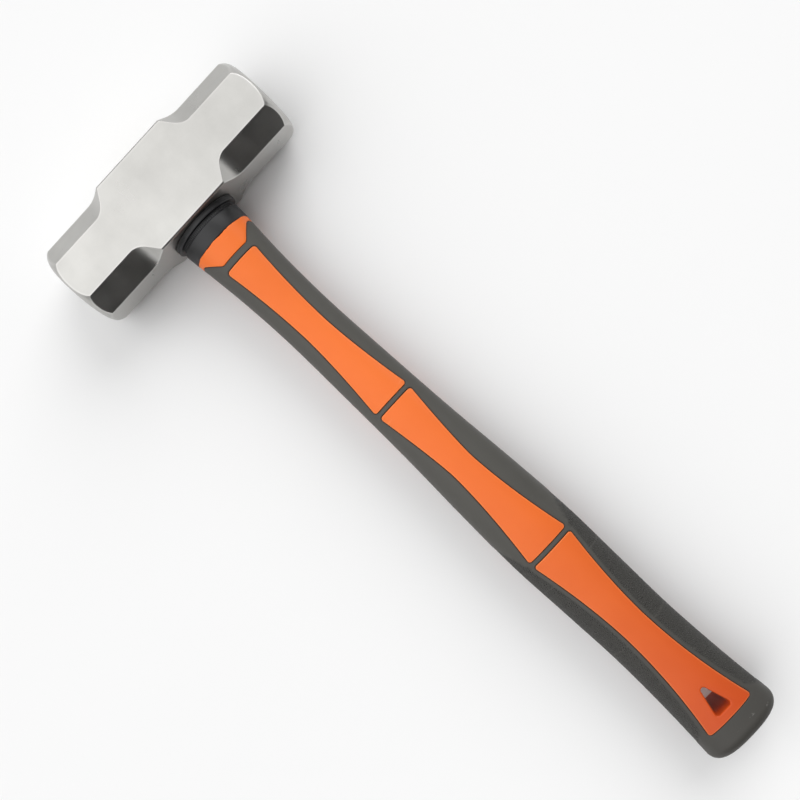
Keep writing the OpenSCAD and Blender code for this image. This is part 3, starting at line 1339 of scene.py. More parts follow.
    def _eye_tool(self) -> Piece:
        """Eye with eased mouths, to be cut out of the head.

        Returns:
            The tool, which reaches past both mouths.
        """
        offsets = np.array([0.0, 0.03, 0.1, 0.2, 0.35, self.eye_ease])
        reach = np.concatenate([[self.half + 1.0], self.half - offsets, [10.0, 0.0]])
        rings = []
        for x in np.concatenate([-reach, reach[:-1][::-1]]):
            deep = np.array(max(self.half - abs(x), 0.0))
            rings.append(EYE.ring(x, float(fillet(deep, self.eye_ease)), self.eye_points))
        return loft("eye_tool", rings, Ends.CAPPED)

    def build(self) -> Piece:
        """Builds and dresses the head.

        Returns:
            The piece.
        """
        half = self._half_head()
        mirrored = [points * [1, -1, 1] for points in half[:0:-1]]
        obj = loft("head", mirrored + half, Ends.POINTED, 80.0)
        self._mark_edges(obj)
        cut(obj, self._eye_tool())
        tidy_mesh(obj, 50.0)
        weight = obj.modifiers.new("weights", "WEIGHTED_NORMAL")
        weight.keep_sharp = True
        weight.weight = 80
        apply_modifiers(obj)
        return paint(obj, self.finish.build())

    def _mark_edges(self, obj: Piece) -> None:
        """Stores how near each point is to an edge, for the finish's painted edge highlight.

        Args:
            obj: The head before its eye is cut.
        """
        across, y, up = np.abs(local_points(obj)).T
        flat = np.array([self.flat_half(float(v)) for v in y])
        to_flat = np.minimum(self.half - np.maximum(across, up), 1.0)
        to_chamfer = (self.half + flat - across - up) / math.sqrt(2)
        to_side, to_corner = np.minimum(to_flat, to_chamfer), np.maximum(to_flat, to_chamfer)
        to_face = self._turned(np.hypot(across, up))[0] - y
        near = np.where(y > self.flat_y, np.minimum(to_corner, np.maximum(to_side, to_face)), to_corner)
        # edge share for the painted highlight
        add_attribute(obj, "edge", 1 - ease(*self.edge_shading_and_scratch, near))


# ---- what holds the head on ---------------------------------------------------------------


@dataclass(frozen=True)
class EyeFilling:
    """Resin cast into the eye, and the fibreglass rod it holds."""

    recess: float = 1.0
    dish: float = 0.35
    lip: float = 0.1
    clearance: float = 0.02
    rod_r: float = 8.0
    rod_stop: float = 46.0
    resin: CastResin = CastResin()
    fibre: SawnFibreglass = SawnFibreglass()

    def build_resin(self) -> Piece:
        """Builds the resin with its dished top.

        Returns:
            The piece.
        """
        turn = turns(96)
        half = SPACE.head_w / 2
        top = self.recess - half
        rod = ring(0.0, self.rod_r * np.cos(turn), self.rod_r * np.sin(turn))
        rings = [EYE.ring(x, -self.clearance, len(turn)) for x in (half, 0.0, top - self.lip)]
        rim = rings[-1]
        for share in (0.06, 0.15, 0.3, 0.5, 0.7, 0.85, 0.94, 1.0):
            step = rim * (1 - share) + rod * share
            step[:, 0] = top - self.lip + self.dish * math.sin(math.pi * share) ** 0.6 + self.lip * share
            rings.append(step)
        rings.append(rod + [half, 0, 0])
        return paint(loft("cast_resin", rings, Ends.JOINED, 40.0), self.resin.build())

    def build_rod(self) -> Piece:
        """Builds the rod, with its sawn end eased.

        Returns:
            The piece.
        """
        turn = turns(64)
        top, stop, r = self.recess - SPACE.head_w / 2, SPACE.butt_x - self.rod_stop, self.rod_r
        stations = (
            (top, 0.0), (top, 3.0), (top, 6.0), (top, r - 0.35), (top + 0.1, r - 0.1), (top + 0.35, r),
            (SPACE.head_w / 2, r), (stop - 0.4, r), (stop, r - 0.4), (stop, 0.0),
        )
        rings = [ring(x, reach * np.cos(turn), reach * np.sin(turn)) for x, reach in stations]
        return paint(loft("sawn_rod", rings, Ends.POINTED, 50.0), self.fibre.build())


@dataclass(frozen=True)
class HeadCollar:
    """Black rubber collar: a flange against the head, a groove and a ferrule."""

    tenon_y: float = 13.3
    tenon_z: float = 12.7
    wall: float = 3.2
    taper: float = 0.5
    flange_out: float = 1.4
    flange_squash: float = 0.5
    flange_h: float = 2.9
    groove_h: float = 2.2
    groove_t: float = 1.3
    height: float = 12.8
    soft: float = 0.6
    groove_soft: float = 0.35
    bore_soft: float = 0.05
    finish: BlackRubber = BlackRubber()

    @property
    def end(self) -> float:
        """Place of the ferrule's end along the handle."""
        return SPACE.head_w / 2 + self.height

    @property
    def dip(self) -> float:
        """Thickness of the wall in the groove."""
        return self.wall - self.groove_t

    @property
    def groove_x(self) -> float:
        """Place of the groove's middle along the handle."""
        return SPACE.head_w / 2 + self.flange_h + self.groove_h / 2

    def _profile(self) -> np.ndarray:
        """Corners of the wall, going round it.

        Returns:
            M by 4 array of (along, extra across, extra up, softness).
        """
        x0 = SPACE.head_w / 2
        x1, x2, x3 = x0 + self.flange_h, x0 + self.flange_h + self.groove_h, self.end
        out, squash = self.wall + self.flange_out, self.wall + self.flange_out * self.flange_squash
        end, dip = self.wall - self.taper, self.dip
        return np.array([
            (x0, out, squash, self.soft),
            (x1, out, squash, self.soft),
            (x1, dip, dip, self.groove_soft),
            (x2, dip, dip, self.groove_soft),
            (x2, self.wall, self.wall, self.soft),
            (x3, end, end, self.soft),
            (x3, 0.0, 0.0, self.bore_soft),
            (x0, 0.0, 0.0, self.bore_soft),
        ])

    def stations(self) -> list[np.ndarray]:
        """The profile with its corners rounded.

        Returns:
            Places round it, each as (along, extra across, extra up).
        """
        corners = self._profile()
        places = []
        for k, (here, soft) in enumerate(zip(corners[:, :3], corners[:, 3])):
            before, after = corners[k - 1, :3], corners[(k + 1) % len(corners), :3]
            a = here + (before - here) * min(soft / np.linalg.norm((before - here)[:2]), 0.5)
            b = here + (after - here) * min(soft / np.linalg.norm((after - here)[:2]), 0.5)
            places += [(1 - t) ** 2 * a + 2 * t * (1 - t) * here + t * t * b for t in np.linspace(0, 1, 6)]
        return places

    def build(self) -> Piece:
        """Builds and dresses the collar.

        Returns:
            The piece.
        """
        turn = turns(128)
        rings = [
            ring(x, (self.tenon_y + across) * np.cos(turn), (self.tenon_z + up) * np.sin(turn))
            for x, across, up in self.stations()
        ]
        return paint(loft("collar", rings, Ends.JOINED, 60.0), self.finish.build())


COLLAR = HeadCollar()


# ---- the handle ---------------------------------------------------------------------------

NEAR_EDGE = np.array([0.0, 0.06, 0.15, 0.3, 0.5, 0.8])
NO_EDGE_NEAR = 9.0


@dataclass(frozen=True)
class InnerHandle:
    """Orange inner handle: a body under the skin, six pads in its windows and a band at the neck."""

    gap: float = 0.2
    pad_edge: float = 0.35
    pad_rise: float = 0.15
    pad_depth: float = 3.6
    pad_border: float = 1.2
    pad_step: float = 1.5
    least_step: float = 0.008
    body_from: float = 47.0
    body_step: float = 8.0
    body_drop: float = 2.45
    body_points: int = 192
    flash: float = 0.3
    hole_gap: float = 0.1
    # painted highlight: how far it reaches in from the pads' edges
    edge_shading_and_scratch: Span = (0.1, 0.7)
    finish: MouldedOrange = MouldedOrange()

    def _pad_plan(self, panel: Panel) -> tuple[np.ndarray, np.ndarray]:
        """Grid of a pad in plan, closer near its edge.

        Args:
            panel: Window that the pad fills.

        Returns:
            Places along the handle and across it, row by row.
        """
        ends = panel.start + self.gap + NEAR_EDGE[1:], panel.end - self.gap - NEAR_EDGE[1:]
        xs = np.sort(np.concatenate([panel.rows(self.pad_step, -self.gap), *ends]))
        apart = np.diff(xs) > self.least_step
        xs = xs[np.concatenate([[True], apart[:-1], [True]])]
        half = panel.half(xs, -self.gap)[:, None]
        inset = np.append(NEAR_EDGE, self.pad_border)
        core = (half - self.pad_border) * np.linspace(-1, 1, 17)[1:-1]
        y = np.concatenate([inset - half, core, half - inset[::-1]], axis=1)
        return np.repeat(xs[:, None], y.shape[1], axis=1), y

    def _pad(self, panel: Panel, side: Side) -> Piece:
        """One pad, with its edge eased, reaching down into the body.

        Args:
            panel: Window that the pad fills.
            side: Side of the handle.

        Returns:
            The closed pad.
        """
        x, y = self._pad_plan(panel)
        fall = fillet(distance_to_path(x, y, panel.outline(-self.gap)), self.pad_edge) - self.pad_rise
        wide, thick = FORM.halves(x)
        z = FORM.height(y, wide, thick)
        ny, nz = FORM.normal(y, z, wide, thick)
        top = np.stack([x, y - ny * fall, (z - nz * fall) * side.value], axis=-1).reshape(-1, 3)
        low = np.stack([x, y, (z - self.pad_depth) * side.value], axis=-1).reshape(-1, 3)
        return shell("pad", top, low, grid_faces(*x.shape, False), 50.0)

    def _flash(self) -> np.ndarray:
        """Slightly ragged edge of the moulding where it meets the collar.

        Returns:
            How far the edge reaches past its line at each point of the neck.
        """
        count = self.body_points
        rough = np.tile(np.random.default_rng(RNG_SEED).normal(size=count), 3)
        ragged = np.convolve(rough, np.hanning(7) / 3, "same")[count : 2 * count]
        return self.flash * np.clip(ragged, -0.4, 1.6)

    def _body(self) -> Piece:
        """Tenon, neck band and the body under the skin, as one closed solid.

        Returns:
            The solid.
        """
        turn = turns(self.body_points)
        cos, sin = FORM.squared(turn)
        tenon = COLLAR.tenon_y * np.cos(turn), COLLAR.tenon_z * np.sin(turn)
        foot, stop, point = SPACE.head_w / 2, FORM.corner_x - 1.0, np.zeros(self.body_points)
        edge = COLLAR.end - self._flash()
        neck = np.full(self.body_points, COLLAR.end)
        for _ in range(4):
            neck = NECK.at(FORM.halves(neck)[0] * cos) - 0.1

        def oval(x: float | np.ndarray, drop: float) -> np.ndarray:
            """Ring of the handle's form, sunk under its surface."""
            wide, thick = FORM.halves(np.maximum(x, COLLAR.end))
            return ring(x, (wide - drop) * cos, (thick - drop) * sin)

        rings = [ring(foot, point, point), ring(foot, *tenon), ring(COLLAR.end - 0.6, *tenon)]
        for past, drop in ((0.0, 0.5), (0.02, 0.16), (0.16, 0.03), (0.4, 0.0)):
            rings.append(oval(edge + past, drop))
        for t in np.linspace(0.12, 1.0, 7):
            rings.append(oval(edge + 0.4 + (neck - 0.35 - edge - 0.4) * t, 0.0))
        for before, drop in ((0.2, 0.03), (0.1, 0.09), (0.03, 0.18), (0.0, 0.3), (0.0, self.body_drop)):
            rings.append(oval(neck - before, drop))
        for x in np.arange(self.body_from, FORM.corner_x - 2.0, self.body_step):
            rings.append(oval(x, self.body_drop))
        rings += [oval(stop, 2.6), oval(stop, 8.0), ring(stop, point, point)]
        return loft("body", rings, Ends.POINTED, 50.0)

    def _hole_tool(self) -> Piece:
        """Prism that clears the hanging hole and its lip.

        Returns:
            The tool, taller than the handle is thick.
        """
        path = HOLE.outline(HOLE.lip + self.hole_gap)[:-1]
        rings = [np.column_stack([path, np.full(len(path), z)]) for z in (-30.0, 30.0)]
        return loft("hole_tool", rings, Ends.CAPPED)

    def _hole_lining(self) -> Piece:
        """Lining of the hanging hole, with a soft lip on both sides.

        Returns:
            The closed lining.
        """
        lip = HOLE.lip
        rounded = lip * (1 - np.cos(np.linspace(math.pi / 2, 0, 9)))
        front = []
        for grow in (lip + 0.45, lip + 0.2, *rounded):
            path = HOLE.outline(grow)[:-1]
            top = FORM.height(path[:, 1], *FORM.halves(path[:, 0]))
            z = top - float(fillet(np.array(grow), lip)) + self.pad_rise + 0.02
            front.append(np.column_stack([path, z]))
        wall = HOLE.outline()[:-1]
        middle = [np.column_stack([wall, np.full(len(wall), z)]) for z in (6.0, 0.0, -6.0)]
        back = [points * [1, 1, -1] for points in front[::-1]]
        return loft("lining", front + middle + back, Ends.JOINED, 50.0)

    def build(self) -> Piece:
        """Builds and dresses the inner handle.

        Returns:
            The piece.
        """
        parts = [self._body()] + [self._pad(panel, side) for side in Side for panel in PANELS]
        for part in parts:
            if local_points(part)[:, 0].max() > HOLE.base_x:
                cut(part, self._hole_tool())
        parts.append(self._hole_lining())
        obj = join(parts, "inner_handle_moulding", 50.0)
        x, y, _ = local_points(obj).T
        near = np.full(len(x), NO_EDGE_NEAR)
        for panel in PANELS:
            span = panel.covers(x, 2.0)
            near[span] = np.minimum(near[span], distance_to_path(x[span], y[span], panel.outline(-self.gap)))
        # share of painted shade toward the butt, for the orange finish
        add_attribute(obj, "along", FORM.butt_shade(x))
        # edge share for the painted highlight along the pads' edges
        add_attribute(obj, "edge", 1 - ease(*self.edge_shading_and_scratch, near))
        return paint(obj, self.finish.build())


@dataclass(frozen=True)
class GripSleeve:
    """Grey skin over the handle, with six windows, palm zones and a closed butt."""

    wall: float = 2.3
    edge_r: float = 0.45
    palm_depth: float = 0.2
    zone_from: float = 0.3
    dome_squeeze: float = 0.9
    strip_cols: int = 30
    web_cols: int = 20
    row_steps: Triple = (1.5, 1.5, 0.75)
    insets: tuple[float, ...] = (*NEAR_EDGE, 1.2, 1.6, 2.1)
    full_strip: float = 6.0
    tiny: float = 1e-6
    # painted shade: how far it reaches in from the skin's edges
    edge_shading_and_scratch: Span = (0.15, 0.8)
    finish: GreyRubber = GreyRubber()

    def _rows(self) -> np.ndarray:
        """Distances of the rows from the first window to the tip of the butt.

        Returns:
            Rising distances, closer near the edges.
        """
        near = NEAR_EDGE[1:]
        rows = [panel.rows(step) for panel, step in zip(PANELS, self.row_steps)]
        for before, after in zip(PANELS[:-1], PANELS[1:]):
            low, high = before.end + near, after.start - near[::-1]
            rows += [low[low < high[0]], [(before.end + after.start) / 2], high]
        last = PANELS[-1].end
        rows += [last + near, np.linspace(last + 1.2, FORM.corner_x, 12)]
        rows.append(FORM.corner_x + FORM.butt_r * np.sin(np.linspace(0, FORM.corner_turn, 10)[1:]))
        rows.append(FORM.butt_x - FORM.butt_dome * np.linspace(1, 0, 10)[1:] ** 2)
        return np.unique(np.round(np.concatenate(rows), 5))

    def _window_half(self, xs: np.ndarray) -> np.ndarray:
        """Half width that separates the webs' columns from the strips'.

        Args:
            xs: Distances of the rows.

        Returns:
            Half widths of the windows, carried on between them and over the butt.
        """
        half = np.zeros(len(xs))
        free = np.ones(len(xs), bool)
        for panel in PANELS:
            span = panel.covers(xs, self.tiny)
            half[span] = panel.half(np.clip(xs[span], panel.start, panel.end))
            free &= ~span
        half[free] = np.interp(xs[free], xs[~free], half[~free])
        last = PANELS[-1].end
        return np.where(xs > last, half * FORM.halves(xs)[0] / FORM.halves(last)[0], half)

    def _columns(self, wide: float, thick: float, half: float) -> np.ndarray:
        """Places round one ring, starting at the front window's edge.

        Args:
            wide: Half width of the ring.
            thick: Its half thickness.
            half: Half width of the windows there.

        Returns:
            N by 2 points as (across, up): right strip, back web, left strip, front web.
        """
        if wide < self.tiny:
            return np.zeros((2 * (self.strip_cols + self.web_cols), 2))
        inset = np.array(self.insets) * min(1.0, (wide - half) / self.full_strip)
        near = np.arccos(np.clip((half + inset) / wide, 0, 1) ** (FORM.squareness / 2))
        middle = np.linspace(near[-1], -near[-1], self.strip_cols - 2 * len(inset) + 3)[1:-1]
        across, up = FORM.squared(np.concatenate([near, middle, -near[::-1]]))
        right = np.stack([wide * across, thick * up], axis=1)
        y = half * np.linspace(1, -1, self.web_cols + 1)[1:-1]
        z = FORM.height(y, wide, thick)
        back, front = np.stack([y, -z], axis=1), np.stack([-y, z], axis=1)
        return np.concatenate([right, back, right[::-1] * [-1, 1], front])

    def _neck(self, cols: int) -> tuple[np.ndarray, np.ndarray]:
        """Rows from the neck's edge to the first window, each bent to follow the edge.

        Args:
            cols: Number of columns.

        Returns:
            Places along the handle, and places across and up, row by row.
        """
        start, margin = PANELS[0].start, NEAR_EDGE[-1]
        half = float(PANELS[0].half(start))
        steps = [(0.0, inset) for inset in NEAR_EDGE]
        steps += [(share, margin * (1 - 2 * share)) for share in np.linspace(0, 1, 7)[1:-1]]
        steps += [(1.0, -inset) for inset in NEAR_EDGE[:0:-1]]
        x, rows, plans = np.full(cols, start), [], []
        for share, offset in steps:
            for _ in range(4):
                ovals = zip(*FORM.halves(x))
                plan = np.stack([self._columns(a, b, half)[j] for j, (a, b) in enumerate(ovals)])
                edge = NECK.at(plan[:, 0])
                x = edge + (start - edge) * share + offset
            rows.append(x)
            plans.append(plan)
        return np.stack(rows), np.stack(plans)

    def sheet(self) -> tuple[np.ndarray, np.ndarray, np.ndarray]:
        """Outer sheet of the skin, before its edges are eased.

        Returns:
            Places along the handle, across it and above its axis, row by row.
        """
        xs = self._rows()
        plan = np.stack([self._columns(*sizes) for sizes in zip(*FORM.halves(xs), self._window_half(xs))])
        neck_x, neck_plan = self._neck(plan.shape[1])
        x = np.concatenate([neck_x, np.repeat(xs[:, None], plan.shape[1], axis=1)])
        plan = np.concatenate([neck_plan, plan])
        return x, plan[..., 0], plan[..., 1]

    def _edge_distance(self, x: np.ndarray, y: np.ndarray) -> np.ndarray:
        """Distance from each point of the sheet to the nearest window or to the neck's edge.

        Args:
            x: Places along the handle, row by row.
            y: Places across it.

        Returns:
            Distances in plan.
        """
        edges = [((x[:, 0] > p.start - 12) & (x[:, 0] < p.end + 3), p.outline()) for p in PANELS]
        edges.append((x.min(axis=1) < PANELS[0].start, NECK.path()))
        near = np.full(x.shape, NO_EDGE_NEAR)
        for span, path in edges:
            near[span] = np.minimum(near[span], distance_to_path(x[span], y[span], path))
        return near

    def _inner(
        self, x: np.ndarray, y: np.ndarray, z: np.ndarray, ny: np.ndarray, nz: np.ndarray
    ) -> np.ndarray:
        """Inner sheet of the skin, one wall inside the outer one.

        Args:
            x: Places along the handle.
            y: Places across it.
            z: Heights over its axis.
            ny: Outward direction, across.
            nz: Outward direction, up.

        Returns:
            N by 3 points.
        """
        domed = x > FORM.butt_x - FORM.butt_dome + self.tiny
        swing = np.where(domed, math.pi / 2, FORM.butt_swing(x))
        inward, squeeze = self.wall * np.cos(swing), np.where(domed, self.dome_squeeze, 1.0)
        sheet = [x - self.wall * np.sin(swing), (y - ny * inward) * squeeze, (z - nz * inward) * squeeze]
        return np.stack(sheet, axis=-1).reshape(-1, 3)

    def build(self) -> tuple[Piece, Piece]:
        """Builds and dresses the skin.

        Returns:
            The piece, and a bare sheet over its palm zones for the grain to grow on.
        """
        x, y, z = self.sheet()
        wide, thick = FORM.halves(x)
        ny, nz = FORM.normal(y, z, np.maximum(wide, self.tiny), np.maximum(thick, self.tiny))
        near, grain = self._edge_distance(x, y), PALM.share(x, y)
        fall = fillet(near, self.edge_r) + self.palm_depth * grain
        outer = np.stack([x, y - ny * fall, z - nz * fall], axis=-1).reshape(-1, 3)
        faces = grid_faces(*x.shape, True, self._window_skip(x))
        zone = self._zone(outer, faces, grain.ravel())
        obj = shell("grip_skin", outer, self._inner(x, y, z, ny, nz), faces, 50.0)
        # edge share for the painted shade along the windows and the neck
        self._store(obj, outer, {"edge": 1 - ease(*self.edge_shading_and_scratch, near), "grain": grain})
        # share of painted shade toward the butt, which also places the scuffs
        add_attribute(obj, "along", FORM.butt_shade(local_points(obj)[:, 0]))
        return paint(obj, self.finish.build()), zone

    def _zone(self, outer: np.ndarray, faces: Faces, grain: np.ndarray) -> Piece:
        """Sheet over the palm zones.

        Args:
            outer: Points of the outer sheet.
            faces: Its faces.
            grain: How grained each point is.

        Returns:
            The sheet, with the grain stored on it.
        """
        grained = [face for face in faces if min(grain[list(face)]) > self.zone_from]
        mesh = bpy.data.meshes.new("palm_zone")
        mesh.from_pydata(SPACE.place(outer).tolist(), [], grained)
        zone = add_object("palm_zone", mesh)
        add_attribute(zone, "grain", grain)
        return zone

    def _store(self, obj: Piece, outer: np.ndarray, values: dict[str, np.ndarray]) -> None:
        """Stores numbers of the outer sheet on the welded mesh, nought elsewhere.

        Args:
            obj: The welded skin.
            outer: Points of the outer sheet.
            values: Numbers of the outer sheet, by the name to store them under.
        """
        index = {tuple(np.round(point, 3)): i for i, point in enumerate(outer)}
        found = [index.get(tuple(np.round(point, 3)), -1) for point in local_points(obj)]
        for name, sheet in values.items():
            add_attribute(obj, name, np.append(sheet.ravel(), 0.0)[found])

    def _window_skip(self, x: np.ndarray) -> Callable[[int, int], bool]:
        """Test that leaves out the faces inside the windows.

        Args:
            x: Places along the handle, row by row.

        Returns:
            Test of (row, column).
        """
        strip, webs = self.strip_cols, self.web_cols
        in_web = {*range(strip, strip + webs), *range(2 * strip + webs, 2 * (strip + webs))}
        low, high = x[:-1].min(axis=1), x[1:].max(axis=1)
        open_row = [any(a >= p.start - 1e-4 and b <= p.end + 1e-4 for p in PANELS) for a, b in zip(low, high)]
        return lambda i, j: j in in_web and open_row[i]


# ---- what repeats -------------------------------------------------------------------------


class RuleBook:
    """A Geometry Nodes tree with named inputs, run on one object."""

    def __init__(self, name: str) -> None:
        """Starts an empty tree that takes and gives geometry.

        Args:
            name: Name of the tree.
        """
        self.tree = bpy.data.node_groups.new(name, "GeometryNodeTree")
        self.tree.interface.new_socket("Geometry", in_out="INPUT", socket_type="NodeSocketGeometry")
        self.tree.interface.new_socket("Geometry", in_out="OUTPUT", socket_type="NodeSocketGeometry")
        self.inputs = self.tree.nodes.new("NodeGroupInput")
        self.values: dict[str, int | float] = {}

    def size(self, name: str, value: int | float) -> Socket:
        """Adds a named input and its value.

        Args:
            name: Name of the input.
            value: Whole number or length, which also gives its kind.

        Returns:
            The socket inside the tree.
        """
        kind = "NodeSocketInt" if isinstance(value, int) else "NodeSocketFloat"
        socket = self.tree.interface.new_socket(name, in_out="INPUT", socket_type=kind)
        self.values[socket.identifier] = value
        return self.inputs.outputs[name]

    def node(self, kind: str, options: dict[str, str] | None = None, **links: object) -> bpy.types.Node:
        """Adds a node.

        Args:
            kind: Type of the node.
            options: Properties of the node itself.
            **links: Inputs by name, with _ for a space, as sockets or values.

        Returns:
            The node.
        """
        node = self.tree.nodes.new(kind)
        for name, value in (options or {}).items():
            setattr(node, name, value)
        for name, value in links.items():
            socket = self.socket(node, name.replace("_", " "))
            if isinstance(value, Socket):
                self.tree.links.new(value, socket)
            else:
                socket.default_value = value
        return node

    @staticmethod
    def socket(node: bpy.types.Node, name: str) -> Socket:
        """Enabled input of a node with that name."""
        return next(s for s in node.inputs if s.name == name and s.enabled)

    def run(self, base: Piece, made: Socket, material: Material, name: str) -> Piece:
        """Ends the tree, runs it on an object and keeps the result as a plain mesh.

        Args:
            base: Object that carries the tree; it is deleted.
            made: Socket with the instances.
            material: Material of the result.
            name: Name of the result.

        Returns:
            The new object.
        """
        real = self.node("GeometryNodeRealizeInstances", Geometry=made)
        smooth = self.node("GeometryNodeSetShadeSmooth", Geometry=real.outputs[0])
        painted = self.node("GeometryNodeSetMaterial", Geometry=smooth.outputs[0], Material=material)
        out = self.tree.nodes.new("NodeGroupOutput")
        self.tree.links.new(painted.outputs[0], out.inputs[0])
        modifier = base.modifiers.new(name, "NODES")
        modifier.node_group = self.tree
        for identifier, value in self.values.items():
            modifier[identifier] = value
        apply_modifiers(base)
        obj = add_object(name, base.data)
        obj.data.name = name
        bpy.data.objects.remove(base)
        return obj


@dataclass(frozen=True)
class PalmGrain:
    """Small domes strewn over the palm zones of the skin, paler than the skin as a painted highlight."""

    spacing: float = 0.88
    dome_r: float = 0.42
    dome_h: float = 0.2
    dome_top: float = 0.5
    sunk: float = 0.03
    sides: int = 5
    most_per_m2: float = 4e6
    turn: Triple = (0.0, 0.0, 6.283)
    growth: Span = (0.75, 1.15)
    # painted highlight: the domes use a paler copy of the grey rubber, as if lit
    finish: GreyRubber = GreyRubber(
        tone=(0.11, 0.107, 0.099), pale=(0.19, 0.186, 0.175), name="grain_rubber_painted_highlight",
    )

    def _dome(self, book: RuleBook) -> Socket:
        """Adds the nodes of one dome, a low cone with a flat top.

        Args:
            book: Tree to add them to.

        Returns:
            The dome's mesh.
        """
        radius = book.size("Dome Radius", self.dome_r * MM)
        height = book.size("Dome Height", self.dome_h * MM)
        top = book.node("ShaderNodeMath", {"operation": "MULTIPLY"})
        book.tree.links.new(radius, top.inputs[0])
        top.inputs[1].default_value = self.dome_top
        dome = book.node(
            "GeometryNodeMeshCone", {"fill_type": "NGON"},
            Vertices=self.sides, Radius_Top=top.outputs[0], Radius_Bottom=radius, Depth=height,
        )
        return dome.outputs["Mesh"]

    def build(self, zone: Piece) -> Piece:
        """Strews the domes.

        Args:
            zone: Sheet over the palm zones, with the grain's share on its points.

        Returns:
            The piece.
        """
        book = RuleBook("palm_grain")
        spacing, sunk = book.size("Spacing", self.spacing * MM), book.size("Sunk", -self.sunk * MM)
        seed = book.size("Seed", RNG_SEED)
        share = book.node("GeometryNodeInputNamedAttribute", {"data_type": "FLOAT"}, Name="grain")
        strewn = book.node(
            "GeometryNodeDistributePointsOnFaces", {"distribute_method": "POISSON"},
            Mesh=book.inputs.outputs[0], Distance_Min=spacing, Density_Max=self.most_per_m2,
            Density_Factor=share.outputs["Attribute"], Seed=seed,
        )
        turn = book.node("FunctionNodeRandomValue", {"data_type": "FLOAT_VECTOR"}, Max=self.turn, Seed=seed)
        turned = book.node(
            "FunctionNodeRotateRotation", {"rotation_space": "LOCAL"},
            Rotation=strewn.outputs["Rotation"], Rotate_By=turn.outputs[0],
        )
        least, most = self.growth
        grow = book.node("FunctionNodeRandomValue", {"data_type": "FLOAT"}, Min=least, Max=most, Seed=seed)
        domes = book.node(
            "GeometryNodeInstanceOnPoints", Points=strewn.outputs["Points"], Instance=self._dome(book),
            Rotation=turned.outputs[0], Scale=grow.outputs[1],
        )
        down = book.node("ShaderNodeCombineXYZ", Z=sunk)
        lowered = book.node(
            "GeometryNodeTranslateInstances", Instances=domes.outputs[0], Translation=down.outputs[0],
        )
        return book.run(zone, lowered.outputs[0], self.finish.build(), "palm_grain")


@dataclass(frozen=True)
class GrooveRibs:
    """Fine ribs round the groove of the collar."""

    count: int = 96
    length: float = 1.9
    width: float = 0.45
    height: float = 0.22
    segments: int = 8
    rings: int = 5

    def _path(self, book: RuleBook) -> Socket:
        """Adds the nodes of the oval that the ribs stand on.

        Args:
            book: Tree to add them to.

        Returns:
            The oval as a curve, with one point for each rib.
        """
        count = book.size("Count", self.count)
        across = book.size("Across", (COLLAR.tenon_y + COLLAR.dip) * MM)
        up = book.size("Up", (COLLAR.tenon_z + COLLAR.dip) * MM)
        centre = SPACE.place(np.array([COLLAR.groove_x, 0.0, 0.0]))
        circle = book.node("GeometryNodeCurvePrimitiveCircle", Resolution=180, Radius=1.0)
        scale = book.node("ShaderNodeCombineXYZ", X=across, Y=up, Z=1.0)
        oval = book.node("GeometryNodeTransform", Geometry=circle.outputs[0], Scale=scale.outputs[0])
        upright = book.node(
            "GeometryNodeTransform", Geometry=oval.outputs[0],
            Translation=tuple(centre), Rotation=(math.pi / 2, 0.0, math.pi / 2),
        )
        return book.node("GeometryNodeResampleCurve", Curve=upright.outputs[0], Count=count).outputs[0]

    def build(self, material: Material) -> Piece:
        """Sets the ribs round the groove.

        Args:
            material: Material of the collar.

        Returns:
            The piece.
        """
        book = RuleBook("groove_ribs")
        path = self._path(book)
        tangent = book.node("GeometryNodeInputTangent")
        turn = book.node(
            "FunctionNodeAlignRotationToVector", {"axis": "Y", "pivot_axis": "X"}, Vector=tangent.outputs[0],
        )
        size = book.node(
            "ShaderNodeCombineXYZ",
            X=book.size("Rib Length", self.length / 2 * MM),
            Y=book.size("Rib Width", self.width / 2 * MM),
            Z=book.size("Rib Height", self.height * MM),
        )
        rib = book.node("GeometryNodeMeshUVSphere", Segments=self.segments, Rings=self.rings, Radius=1.0)
        ribs = book.node(
            "GeometryNodeInstanceOnPoints", Points=path, Instance=rib.outputs["Mesh"],
            Rotation=turn.outputs[0], Scale=size.outputs[0],
        )
        base = add_object("groove", bpy.data.meshes.new("groove"))
        return book.run(base, ribs.outputs[0], material, "groove_ribs")


# ---- the studio ---------------------------------------------------------------------------


@dataclass(frozen=True)
class Glow:
    """Part of the sky that is bright about one direction and fades away from it."""

    toward: Triple
    fade: Span
    level: Span

    def add(self, tree: bpy.types.NodeTree, way: Socket) -> Socket:
        """Adds its nodes.

        Args:
            tree: The world's tree.
            way: Direction of the sky.

        Returns:
            Its strength in that direction.
        """
        lean = tree.nodes.new("ShaderNodeVectorMath")
        lean.operation = "DOT_PRODUCT"
        lean.inputs[1].default_value = Vector(self.toward).normalized()
        tree.links.new(way, lean.inputs[0])
        fall = tree.nodes.new("ShaderNodeMapRange")
        fall.interpolation_type = "SMOOTHSTEP"
        span = (math.cos(self.fade[0]), math.cos(self.fade[1]), *self.level)
        for name, number in zip(("From Min", "From Max", "To Min", "To Max"), span):
            fall.inputs[name].default_value = number
        tree.links.new(lean.outputs["Value"], fall.inputs["Value"])
        return fall.outputs["Result"]


